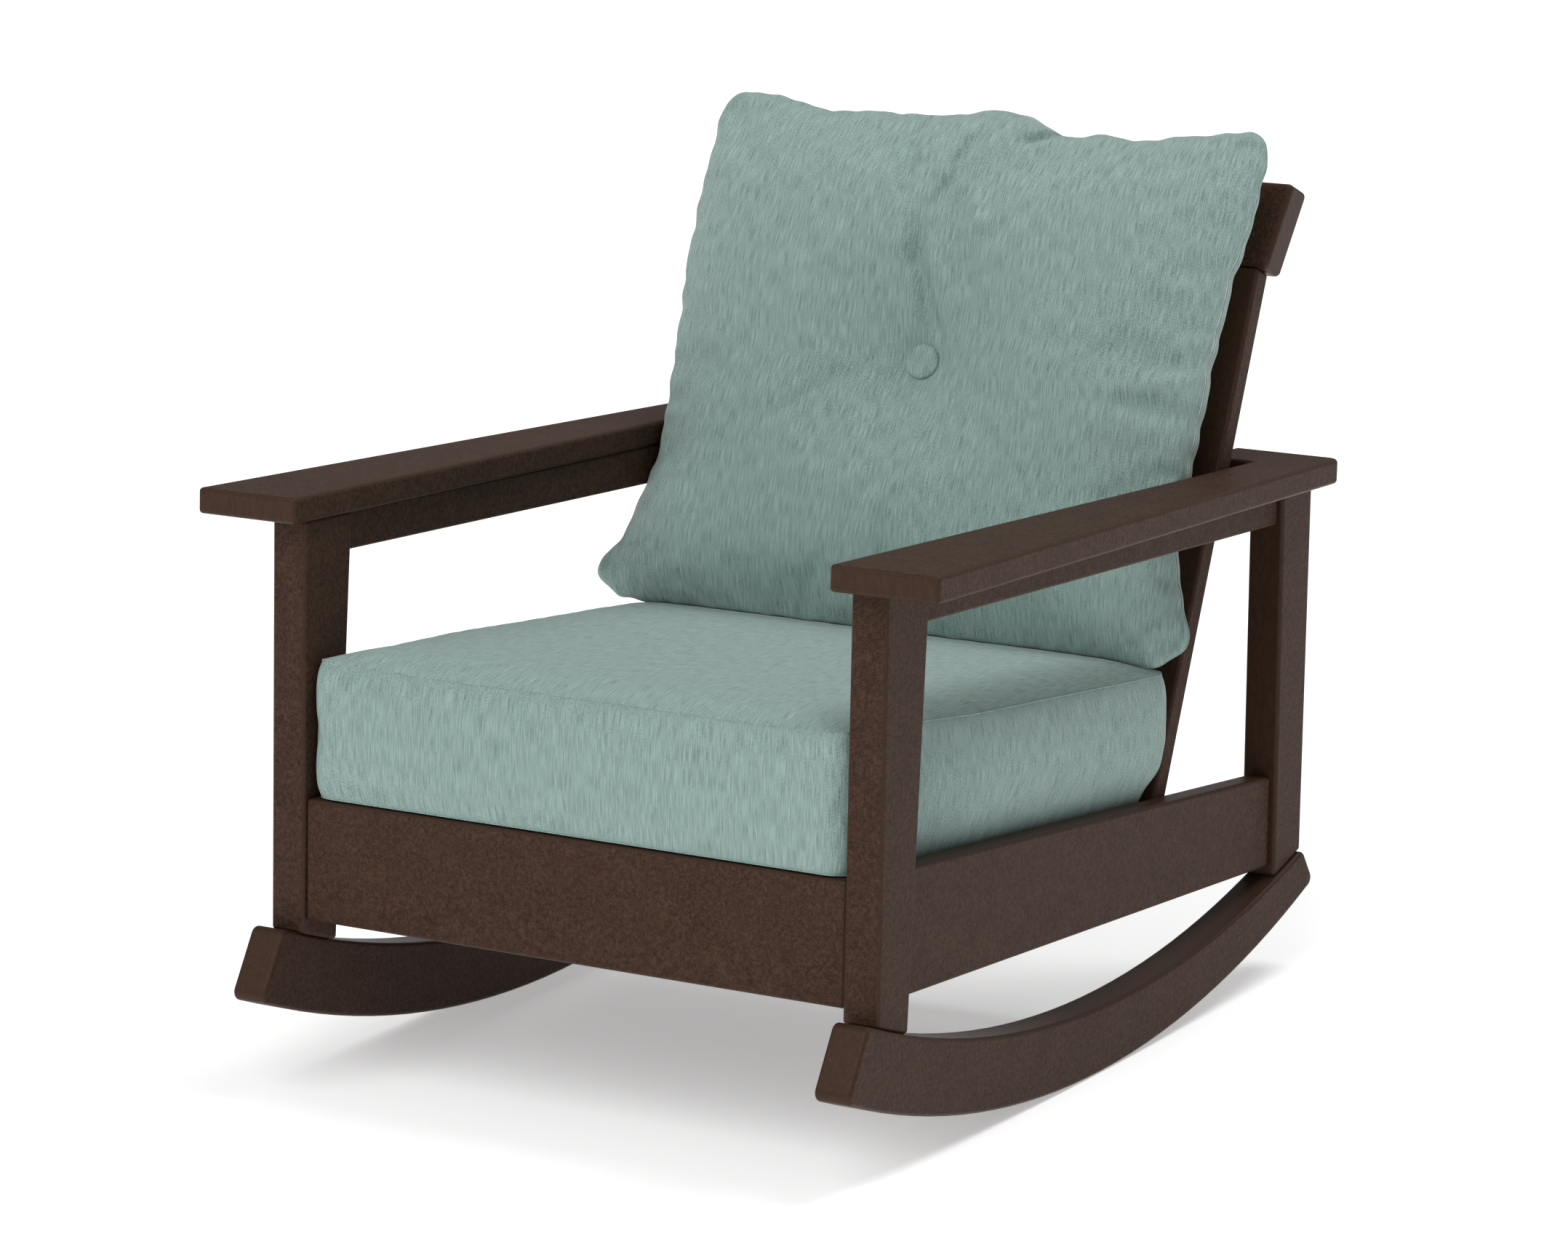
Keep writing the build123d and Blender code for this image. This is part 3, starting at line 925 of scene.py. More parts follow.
@dataclass(frozen=True)
class ClothSim:
    """How a sewn form is blown up: pressure, spare cloth and how far it may move."""

    pressure: float
    spare: float
    cap: float
    bending: float
    frames: int = 20
    quality: int = 7
    mass: float = 0.25
    stretch: float = 22.0
    shear: float = 9.0
    damping: float = 12.0
    air_damping: float = 2.0

    def run(self, piece: bpy.types.Object, held: np.ndarray) -> None:
        """Simulate the piece and keep the result, moved no further than the cap.

        Args:
            piece: a mesh in its starting shape.
            held: for each vertex, how firmly it is held, 0 to 1.
        """
        start = vertex_places(piece)
        group = piece.vertex_groups.new(name="held")
        for number, weight in enumerate(held):
            if weight > HELD_LEAST:
                group.add([number], float(weight), "REPLACE")
        modifier = piece.modifiers.new("cloth", "CLOTH")
        settings = modifier.settings
        settings.quality = self.quality
        settings.mass = self.mass
        settings.tension_stiffness = settings.compression_stiffness = self.stretch
        settings.shear_stiffness = self.shear
        settings.bending_stiffness = self.bending
        settings.tension_damping = settings.compression_damping = self.damping
        settings.air_damping = self.air_damping
        settings.use_pressure = True
        settings.uniform_pressure_force = self.pressure
        settings.shrink_min = -self.spare
        settings.vertex_group_mass = "held"
        settings.effector_weights.gravity = 0.0
        modifier.collision_settings.use_collision = False
        modifier.point_cache.frame_start = 1
        modifier.point_cache.frame_end = self.frames
        scene = bpy.context.scene
        for number in range(1, self.frames + 1):
            scene.frame_set(number)
        evaluated = piece.evaluated_get(bpy.context.evaluated_depsgraph_get())
        found = np.zeros(len(start) * 3, np.float32)
        evaluated.data.vertices.foreach_get("co", found)
        move = found.reshape(-1, 3).astype(float) - start
        piece.modifiers.remove(modifier)
        piece.vertex_groups.clear()
        scene.frame_set(1)
        length = np.linalg.norm(move, axis=1, keepdims=True)
        move *= np.minimum(1.0, self.cap / np.maximum(length, TINY))
        set_places(piece, start + move)


# ---- seat cushion --------------------------------------------------------------------
@dataclass
class SeatCushion:
    """Boxed seat cushion squeezed between the posts: crowned top, boxing band, flat base."""

    half_width: float = 0.2960
    swell: float = 0.0165
    post_end: float = 0.0850
    rail_rise: float = 0.0080
    rail_gap: float = 0.3022
    front: float = 0.0025
    rear: float = 0.6115
    base: float = 0.2342
    fall: float = 0.0597
    band: float = 0.1300
    crown: float = 0.0125
    corner: float = 0.022
    roll: float = 0.0036
    behind: float = 0.0030
    square_x: float = 0.30
    square_y: float = 0.305
    spread: float = 0.005
    post_ease: float = 0.16
    rail_ease: float = 0.035
    edge_squareness: int = 7
    edge_fullness: float = 0.42
    crown_share: float = 0.30
    roll_power: int = 5
    clearance: float = 0.0006
    front_swell: float = 0.003
    post_hug: float = 0.02
    rail_hug: float = 0.016
    rail_swell: float = 0.014
    seam_tuck: float = 0.0012
    foam_inset: float = 0.003
    columns: int = 84
    rows: int = 88
    band_rows: int = 18
    seam_radius: float = 0.0007
    base_hold: float = 0.97
    top_hold: float = 0.85
    sim: ClothSim = ClothSim(pressure=3.2, spare=0.006, cap=0.006, bending=1.2)

    def base_z(self, y: np.ndarray) -> np.ndarray:
        """Height of the underside at y, in the chair's axes."""
        return self.base - self.fall * y

    def rear_y(self, height: np.ndarray) -> np.ndarray:
        """Rear of the cushion at a height: upright, but never through the leaning back.

        Args:
            height: heights over the base.

        Returns:
            The rear's y, in the chair's axes.
        """
        n = math.hypot(1.0, AXES.back_rise)
        top = AXES.back_y - self.behind * n - AXES.back_rise * (AXES.back_z - self.base - height)
        return np.minimum(self.rear, top / (1 + AXES.back_rise * self.fall))

    def half(self, y: np.ndarray, height: np.ndarray) -> np.ndarray:
        """Half the width: held by the posts, and swelling over the side rails behind them.

        Args:
            y: places from front to rear.
            height: heights over the base.

        Returns:
            Half the width there.
        """
        past = soft_step(y, self.post_end, self.post_end + self.post_ease)
        over = soft_step(height, self.rail_rise, self.rail_rise + self.rail_ease)
        return self.half_width + past * (self.spread + (self.swell - self.spread) * over)

    def place(self, s: np.ndarray, t: np.ndarray, height: np.ndarray) -> np.ndarray:
        """Chair points of the block at square coordinates and a height over the base.

        Args:
            s: across, -1 to 1.
            t: front to rear, -1 to 1.
            height: heights over the base.

        Returns:
            The points, shape (..., 3).
        """
        rear = self.rear_y(height)
        middle, half = (self.front + rear) / 2, (rear - self.front) / 2
        y = middle + t * half
        return np.stack([s * self.half(y, height), y, self.base_z(y) + height], axis=-1)

    def build(self) -> bpy.types.Object:
        """The cover as one closed mesh, blown up by a cloth simulation.

        Returns:
            The cover.
        """
        self.grid = grid = PanelGrid(self.columns, self.rows, self.band_rows)
        s, t = round_corners(*grid.square(), self.corner / self.square_x, self.corner / self.square_y)
        inset = 1 - self.roll / self.square_x
        power = self.edge_squareness
        rim = np.clip((1 - np.abs(s) ** power) * (1 - np.abs(t) ** power), 0, 1) ** self.edge_fullness
        dome = rim * (1 - self.crown_share + self.crown_share * (1 - s * s) * (1 - t * t))
        points = np.zeros((grid.total, 3))
        points[grid.top] = self.place(s * inset, t * inset, self.band + self.crown * dome)
        points[grid.bottom] = self.place(s * inset, t * inset, np.zeros_like(s))
        rs, rt = grid.on_ring(s), grid.on_ring(t)
        for k, row in enumerate(grid.band[1:-1], 1):
            share = k / self.band_rows
            pull = 1 - (1 - inset) * abs(2 * share - 1) ** self.roll_power
            points[row] = self.place(rs * pull, rt * pull, np.full(rs.shape, self.band * (1 - share)))
        self.cover = cover = add_mesh("seat_cushion_cover", AXES.to_row(points), grid.faces())
        add_cloth_map(cover, self._chart(grid, points))
        held = np.zeros(grid.total)
        held[grid.bottom.ravel()] = self.base_hold
        held[grid.band[0]] = self.top_hold
        self.sim.run(cover, held)
        self._settle(cover, grid)
        return cover

    def _chart(self, grid: PanelGrid, points: np.ndarray) -> np.ndarray:
        """Lay the cloth: warp front to back on the panels and upright on the band.

        Args:
            grid: the cover's grid.
            points: its points before it is blown up.

        Returns:
            Two lengths for each face corner, in metres.
        """
        top = grid.chart(points[grid.top])
        low = grid.chart(points[grid.bottom]) + [BASE_PANEL_CUT, 0.0]
        blocks = [grid.panel_corners(chart, flip) for chart, flip in ((top, False), (low, True))]
        ring = points[grid.band[0]]
        steps = np.linalg.norm(np.roll(ring, -1, 0) - ring, axis=1)
        run = np.concatenate([[0.0], np.cumsum(steps)]) + BAND_CUT
        start, end = run[:-1], run[1:]
        for k in range(self.band_rows):
            high, deep = (self.band * (1 - row / self.band_rows) for row in (k, k + 1))
            level = np.ones_like(start)
            corners = ((start, high), (start, deep), (end, deep), (end, high))
            blocks.append(np.stack([np.stack([place, h * level], 1) for place, h in corners], 1))
        return np.concatenate(blocks).reshape(-1, 2)

    def _settle(self, cover: bpy.types.Object, grid: PanelGrid) -> None:
        """Keep the cushion on the slats, off the back frame, and inside posts and rails.

        Args:
            cover: the cover.
            grid: its grid.
        """
        chair = to_chair(vertex_places(cover))
        floor = self.base_z(chair[:, 1])
        chair[:, 2] = np.maximum(chair[:, 2], floor)
        n = math.hypot(1.0, AXES.back_rise)
        wall = AXES.back_y + AXES.back_rise * (chair[:, 2] - AXES.back_z) - self.behind * n
        chair[:, 1] = np.clip(chair[:, 1], self.front - self.front_swell, wall)
        rise = chair[:, 2] - floor
        free = soft_step(chair[:, 1], self.post_end, self.post_end + self.post_hug)
        over = soft_step(rise, self.rail_rise, self.rail_rise + self.rail_hug)
        room = self.rail_gap - self.half_width - self.clearance + self.rail_swell * over
        limit = self.half_width + self.clearance + free * room
        chair[:, 0] = np.clip(chair[:, 0], -limit, limit)
        places = AXES.to_row(chair)
        for ring in (grid.band[0], grid.band[-1]):
            out = places[ring] - places[ring].mean(0)
            places[ring] -= self.seam_tuck * out / np.linalg.norm(out, axis=1, keepdims=True)
        set_places(cover, places)

    def dress(self, cloth: bpy.types.Material, foam: bpy.types.Material) -> list[bpy.types.Object]:
        """Finish the cover and add its seams and foam.

        Args:
            cloth: the cover's finish.
            foam: the filling's finish.

        Returns:
            All of the cushion's pieces.
        """
        cover = self.cover
        places = vertex_places(cover)
        pieces = [cover]
        for name, ring in (("seat_top_seam", self.grid.band[0]), ("seat_base_seam", self.grid.band[-1])):
            points, faces = tube(places[ring], self.seam_radius)
            seam = add_mesh(name, points, faces)
            tube_map(seam)
            finish_piece(seam, cloth, Body.SEAT)
            pieces.append(seam)
        inner = self.grid.shrunk(places, self.foam_inset)
        pieces.append(filling("seat_foam_block", inner, self.grid.faces(), foam, Body.SEAT, "seat_foam"))
        finish_piece(cover, cloth, Body.SEAT, ("seat_cover",), subdivide=1)
        return pieces


def to_chair(places: np.ndarray) -> np.ndarray:
    """Chair points of row-frame points.

    Args:
        places: row-frame points, shape (count, 3).

    Returns:
        Their chair points.
    """
    moved = places - AXES.offset()
    c, s = math.cos(-AXES.pitch), math.sin(-AXES.pitch)
    x, y, z = moved.T
    return np.stack([x, y * c - z * s, y * s + z * c], axis=-1)


def to_back(places: np.ndarray) -> tuple[np.ndarray, np.ndarray, np.ndarray]:
    """Places of row-frame points on the back frame.

    Args:
        places: row-frame points, shape (count, 3).

    Returns:
        Their places across, up the lean, and in front of the back frame.
    """
    chair = to_chair(places)
    n = math.hypot(1.0, AXES.back_rise)
    y, z = chair[:, 1] - AXES.back_y, chair[:, 2] - AXES.back_z
    return chair[:, 0], (y * AXES.back_rise + z) / n, (z * AXES.back_rise - y) / n


def tube_map(piece: bpy.types.Object) -> None:
    """Give a thin cord a cloth map from its own places.

    Args:
        piece: the cord's mesh object.
    """
    places = vertex_places(piece)
    chart = np.stack([places[:, 0] + places[:, 1], places[:, 2]], axis=1)
    add_cloth_map(piece, chart[[v for face in piece.data.polygons for v in face.vertices]])


def finish_piece(
    piece: bpy.types.Object,
    material: bpy.types.Material,
    body: Body,
    stands_for: Sequence[str] = (),
    subdivide: int = 0,
) -> None:
    """Give a piece its material and body, subdivide it if asked, and hide the CAD nodes that it stands for.

    Args:
        piece: the mesh object.
        material: its finish.
        body: the body that it rides on.
        stands_for: CAD nodes that it replaces.
        subdivide: levels of subdivision.
    """
    piece.data.materials.clear()
    piece.data.materials.append(material)
    if subdivide:
        modifier = piece.modifiers.new("smooth", "SUBSURF")
        modifier.levels = modifier.render_levels = subdivide
    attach(piece, body.value)
    if stands_for:
        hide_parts(*stands_for)


def filling(
    name: str,
    places: np.ndarray,
    quads: Sequence[Sequence[int]],
    material: bpy.types.Material,
    body: Body,
    node: str,
) -> bpy.types.Object:
    """A filling inside a cover.

    Args:
        name: its name.
        places: its vertex places.
        quads: its faces.
        material: its finish.
        body: the body that it rides on.
        node: the CAD node that it stands for.

    Returns:
        The filling.
    """
    made = add_mesh(name, places, quads)
    finish_piece(made, material, body, (node,))
    return made


# ---- back cushion --------------------------------------------------------------------
@dataclass(frozen=True)
class Crease:
    """A fold in the front of the back cushion, along a line of (x, u) points."""

    line: Knots
    depth: float
    width: float
    bank_share: float = 0.45
    bank_place: float = 1.9
    end_share: float = 0.12

    def drop(self, x: np.ndarray, u: np.ndarray) -> np.ndarray:
        """How far the fold presses the cloth in at each place; negative is a ridge.

        Args:
            x: places across.
            u: places up the lean.

        Returns:
            The depth there.
        """
        gap, along = line_distance(x, u, self.line)
        taper = np.clip(4 * along * (1 - along), self.end_share, 1) ** 0.5
        bank = hump(gap - self.bank_place * self.width, self.width)
        return self.depth * taper * (hump(gap, self.width) - self.bank_share * bank)


CREASES = (
    Crease(
        ((0.016, -0.124), (0.000, -0.093), (-0.006, -0.068), (-0.018, -0.045), (-0.020, 0.003)),
        depth=0.0095,
        width=0.0085,
    ),
    Crease(
        ((-0.006, 0.010), (0.007, 0.040), (0.007, 0.058), (0.013, 0.077), (0.022, 0.098)),
        depth=0.0075,
        width=0.0070,
    ),
    Crease(
        ((-0.042, 0.010), (-0.049, 0.046), (-0.052, 0.067), (-0.060, 0.088), (-0.056, 0.106)),
        depth=0.0060,
        width=0.0070,
    ),
    Crease(
        ((0.052, -0.106), (0.049, -0.070), (0.046, -0.045), (0.057, -0.024), (0.074, -0.015)),
        depth=0.0042,
        width=0.0095,
    ),
    Crease(((0.096, 0.116), (0.080, 0.099), (0.062, 0.086)), depth=0.0090, width=0.0055),
    Crease(((0.004, -0.205), (-0.010, -0.288), (-0.034, -0.345)), depth=0.0026, width=0.010),
    Crease(((0.050, -0.195), (0.062, -0.245)), depth=0.0018, width=0.011),
    Crease(((-0.170, -0.022), (-0.128, -0.055)), depth=0.0020, width=0.013),
    Crease(((0.296, -0.165), (0.225, -0.175)), depth=0.0030, width=0.010),
    Crease(((0.296, -0.120), (0.255, -0.128)), depth=0.0024, width=0.008),
    Crease(((0.300, -0.020), (0.262, -0.034)), depth=0.0024, width=0.010),
)


@dataclass
class BackCushion:
    """Plump knife-edge cushion with gathered edges, drawn in at a covered button."""

    front: float = 0.1200
    rear: float = 0.0035
    seam: float = 0.0600
    button_u: float = -0.146
    button_seat: float = 0.0862
    button_lift: float = 0.0015
    corner: float = 0.024
    puff: float = 0.0040
    square_x: float = 0.31
    square_u: float = 0.265
    edge_bias: float = 0.4
    side_gather: float = 0.0022
    end_gather: float = 0.0015
    pucker: float = 0.0026
    pucker_reach: float = 0.028
    pucker_fade: float = 0.012
    fullness: float = 0.05
    dimples: Knots = ((0.55, 0.085), (0.45, 0.030))
    button_ring: Pair = (0.019, 0.034)
    tuft_rise: float = 0.005
    tuft_width: float = 0.024
    rear_slack: float = 0.001
    near_seat: float = -0.30
    sitting: float = 0.0006
    facing_span: Pair = (0.1, 0.5)
    across_shape: Pair = (4.4, 0.5)
    up_shape: Pair = (3.4, 0.54)
    bag_inset: float = 0.014
    columns: int = 108
    rows: int = 96
    seam_radius: float = 0.0009
    arm_gap: float = 0.3022
    arm_low: Pair = (-0.322, -0.300)
    arm_high: Pair = (0.140, 0.162)
    over_arms: float = 0.05
    button_hold: float = 0.98
    rear_hold: float = 0.35
    seam_hold: float = 0.92
    sim: ClothSim = ClothSim(pressure=1.6, spare=0.020, cap=0.012, bending=0.25)

    # Each edge is (place along the edge, how far out it lies).
    left_edge: Knots = (
        (-0.413, 0.335), (-0.397, 0.346), (-0.380, 0.341), (-0.352, 0.321), (-0.338, 0.316),
        (-0.300, 0.3055), (-0.285, 0.3015), (-0.175, 0.3015), (-0.05, 0.311), (0.10, 0.311),
    )
    right_edge: Knots = (
        (-0.413, 0.324), (-0.395, 0.336), (-0.37, 0.330), (-0.325, 0.310), (-0.285, 0.3010),
        (-0.190, 0.3010), (-0.10, 0.301), (-0.02, 0.306), (0.04, 0.315), (0.08, 0.318),
    )
    top_edge: Knots = (
        (-0.31, 0.1245), (-0.235, 0.123), (-0.205, 0.1155), (-0.115, 0.1155), (-0.045, 0.1165),
        (-0.015, 0.1210), (0.015, 0.1255), (0.045, 0.1225), (0.066, 0.114), (0.084, 0.1055),
        (0.135, 0.1085), (0.170, 0.1055), (0.215, 0.1125), (0.250, 0.1180), (0.31, 0.1245),
    )
    low_edge: Knots = (
        (-0.34, -0.407), (-0.30, -0.413), (-0.25, -0.420),
        (0.25, -0.420), (0.30, -0.420), (0.34, -0.416),
    )

    def half(self, side: np.ndarray, u: np.ndarray) -> np.ndarray:
        """Half the width at a height, on the side that the sign of side names."""
        return np.where(side < 0, smooth_knots(u, self.left_edge), smooth_knots(u, self.right_edge))

    def outline(self, s: np.ndarray, t: np.ndarray) -> tuple[np.ndarray, np.ndarray]:
        """Across and up of the panels at square coordinates.

        Args:
            s: across, -1 to 1.
            t: low to high, -1 to 1.

        Returns:
            Places across, and up the lean.
        """
        x0 = self.square_x * s
        top, low = smooth_knots(x0, self.top_edge), smooth_knots(x0, self.low_edge)
        u = low + (top - low) * (t + 1) / 2
        gather = self.side_gather * wave(u, (0.083, 0.047, 0.031), (0.4, 1.9, 2.6))
        x = s * (self.half(s, u) + np.abs(s) ** 8 * gather)
        u = u + np.abs(t) ** 10 * self.end_gather * wave(x, (0.071, 0.043, 0.027), (1.2, 0.3, 2.2))
        return x, u

    def puckers(self, x: np.ndarray, u: np.ndarray) -> np.ndarray:
        """Small ridges square to the seams, dying out towards the middle.

        Args:
            x: places across.
            u: places up the lean.

        Returns:
            The ridges' height, negative in the hollows between them.
        """
        from_side = np.maximum(self.half(x, u) - np.abs(x), 0)
        from_top = smooth_knots(x, self.top_edge) - u
        from_low = u - smooth_knots(x, self.low_edge)
        from_end = np.maximum(np.minimum(from_top, from_low), 0)
        side = wave(u + 0.01 * np.sign(x), (0.052, 0.034, 0.021), (0.0, 1.0, 2.0))
        end = wave(x, (0.058, 0.036, 0.023), (0.7, 2.4, 0.9))
        side = side * np.exp(-from_side / self.pucker_reach)
        end = end * np.exp(-from_end / self.pucker_reach)
        fade = np.clip(from_side / self.pucker_fade, 0, 1) * np.clip(from_end / self.pucker_fade, 0, 1)
        return self.pucker * (side + end) * fade

    def build(self, seat: bpy.types.Object) -> bpy.types.Object:
        """The cover as one closed mesh, blown up by a cloth simulation.

        Args:
            seat: the seat cushion's cover, which this cushion stands on.

        Returns:
            The cover.
        """
        self.grid = grid = PanelGrid(self.columns, self.rows)
        bias = self.edge_bias
        s0, t0 = ((1 - bias) * v + bias * np.sin(v * math.pi / 2) for v in grid.square())
        s, t = round_corners(s0, t0, self.corner / self.square_x, self.corner / self.square_u)
        x, u = self.outline(s, t)
        across = np.clip(1 - np.abs(s0) ** self.across_shape[0], 0, 1) ** self.across_shape[1]
        up = np.clip(1 - np.abs(t0) ** self.up_shape[0], 0, 1) ** self.up_shape[1]
        x = x + self.puff * np.sign(s0) * np.sin(math.pi * across) * up
        u = u + self.puff * np.sign(t0) * np.sin(math.pi * up) * across
        share = across * up * (1 - self.fullness * (s0 * s0 + t0 * t0))
        gap = np.hypot(x, u - self.button_u)
        full = self.seam + (self.front - self.seam) * share
        dip = full - self.button_seat + self.button_lift
        front = full - dip * sum(part * hump(gap, width) for part, width in self.dimples)
        back = self.seam - (self.seam - self.rear) * share
        points = np.zeros((grid.total, 3))
        points[grid.bottom] = AXES.back(x, u, back)
        points[grid.top] = AXES.back(x, u, front)
        cover = add_mesh("back_cushion_cover", points, grid.faces())
        top, low = grid.chart(points[grid.top]), grid.chart(points[grid.bottom]) + [REAR_PANEL_CUT, 0.0]
        add_cloth_map(cover, np.concatenate([grid.panel_corners(top, False), grid.panel_corners(low, True)]))
        held = np.zeros(grid.total)
        button = self.button_hold * hump(gap, self.button_ring[1], 4)
        held[grid.top] = button
        held[grid.bottom] = np.maximum(button, self.rear_hold)
        held[grid.band[0]] = self.seam_hold
        self.sim.run(cover, held)
        self._keep_outline(cover, points, share)
        self._settle(cover, seat)
        self.inner = grid.shrunk(vertex_places(cover), self.bag_inset)
        self.ring = vertex_places(cover)[grid.band[0]]
        self.cover = refined(cover)
        self._fold(self.cover)
        self._settle(self.cover, seat)
        return self.cover

    def _keep_outline(self, cover: bpy.types.Object, start: np.ndarray, share: np.ndarray) -> None:
        """Undo the simulation's pull on the cushion's outline, and keep its puff.

        Args:
            cover: the simulated cover.
            start: its points before the simulation.
            share: how far each panel point may keep its move, 0 at the seam.
        """
        x0, u0, _ = to_back(start)
        x, u, d = to_back(vertex_places(cover))
        free = np.zeros(len(start))
        free[self.grid.top] = share
        free[self.grid.bottom] = share
        set_places(cover, AXES.back(x0 + (x - x0) * free, u0 + (u - u0) * free, d))

    def _fold(self, cover: bpy.types.Object) -> None:
        """Press the creases and puckers into the refined cover.

        Args:
            cover: the cover.
        """
        x, u, d = to_back(vertex_places(cover))
        normals = np.zeros(len(cover.data.vertices) * 3, np.float32)
        cover.data.vertex_normals.foreach_get("vector", normals)
        facing = normals.reshape(-1, 3) @ np.array(AXES.forward())
        gap = np.hypot(x, u - self.button_u)
        near = soft_step(gap, *self.button_ring)
        folds = sum(crease.drop(x, u) for crease in CREASES)
        front = soft_step(facing, *self.facing_span)
        rear = soft_step(-facing, *self.facing_span)
        pucker = self.puckers(x, u)
        d = d - near * front * (folds - pucker) - 0.5 * rear * pucker
        set_places(cover, AXES.back(x, u, d))

    def _settle(self, cover: bpy.types.Object, seat: bpy.types.Object) -> None:
        """Rest the cushion on the back frame and the seat, between the arms.

        Args:
            cover: the cover.
            seat: the seat cushion's cover.
        """
        x, u, d = to_back(vertex_places(cover))
        gap = np.hypot(x, u - self.button_u)
        d = np.maximum(d, self.rear - self.rear_slack + self.tuft_rise * hump(gap, self.tuft_width))
        beside = soft_step(u, *self.arm_low) * soft_step(-u, *self.arm_high)
        limit = self.arm_gap + self.over_arms * (1 - beside)
        x = np.clip(x, -limit, limit)
        places = AXES.back(x, u, d)
        tree = BVHTree.FromObject(seat, bpy.context.evaluated_depsgraph_get())
        for i in np.nonzero(u < self.near_seat)[0]:
            hit = tree.ray_cast(Vector(places[i]) + Vector((0, 0, 0.3)), Vector((0, 0, -1)))[0]
            if hit is not None and places[i][2] < hit.z + self.sitting:
                places[i][2] = hit.z + self.sitting
        set_places(cover, places)

    def dress(self, cloth: bpy.types.Material, fibre: bpy.types.Material) -> list[bpy.types.Object]:
        """Finish the cover and add its seam and filling.

        Args:
            cloth: the cover's finish.
            fibre: the filling's finish.

        Returns:
            All of the cushion's pieces.
        """
        cover = self.cover
        finish_piece(cover, cloth, Body.BACK, ("back_cover",))
        points, faces = tube(self.ring, self.seam_radius)
        seam = add_mesh("back_cushion_seam", points, faces)
        tube_map(seam)
        finish_piece(seam, cloth, Body.BACK)
        bag = filling("back_fibre_bag", self.inner, self.grid.faces(), fibre, Body.BACK, "back_fill")
        return [cover, seam, bag]


@dataclass
class Button:
    """Cloth-covered button: a domed cap turned under at its rim."""

    name: str
    node: str
    seat_d: float
    height: float
    facing: int
    radius: float = 0.0185
    u: float = -0.146
    sides: int = 48

    def profile(self) -> list[tuple[float, float]]:
        """The cap's section, from its middle to its underside.

        Returns:
            Radius and height of each ring.
        """
        dome = [(k / 10, 1 - 0.22 * (k / 10) ** 2) for k in range(9)]
        rim = [(0.90, 0.80), (0.965, 0.66), (1.0, 0.44), (0.985, 0.22), (0.93, 0.06), (0.80, 0.0), (0.0, 0.0)]
        return [(self.radius * r, self.height * h) for r, h in dome + rim]

    def build(self, cloth: bpy.types.Material) -> bpy.types.Object:
        """The button, in place and finished.

        Args:
            cloth: its finish.

        Returns:
            The button.
        """
        (_, crown), *rings, (_, base) = self.profile()
        n = self.sides
        angles = np.arange(n) * 2 * math.pi / n
        radii, heights = np.array(rings).T
        x = np.concatenate([[0.0], np.outer(radii, np.cos(angles)).ravel(), [0.0]])
        v = np.concatenate([[0.0], np.outer(radii, np.sin(angles)).ravel(), [0.0]])
        h = np.concatenate([[crown], np.repeat(heights, n), [base]])
        points = AXES.back(x, self.u + v, self.seat_d + self.facing * h)
        last = len(x) - 1
        edge = last - n
        faces = [(0, 1 + k, 1 + m) for k, m in neighbours(n)]
        for a in range(1, edge, n):
            faces += [(a + k, a + n + k, a + n + m, a + m) for k, m in neighbours(n)]
        faces += [(last, edge + m, edge + k) for k, m in neighbours(n)]
        if self.facing < 0:
            faces = [tuple(reversed(f)) for f in faces]
        piece = add_mesh(self.name, points, faces)
        chart = np.stack([x + BUTTON_CUT, v], axis=1)
        add_cloth_map(piece, chart[[k for f in faces for k in f]])
        finish_piece(piece, cloth, Body.BACK, (self.node,), subdivide=1)
        return piece


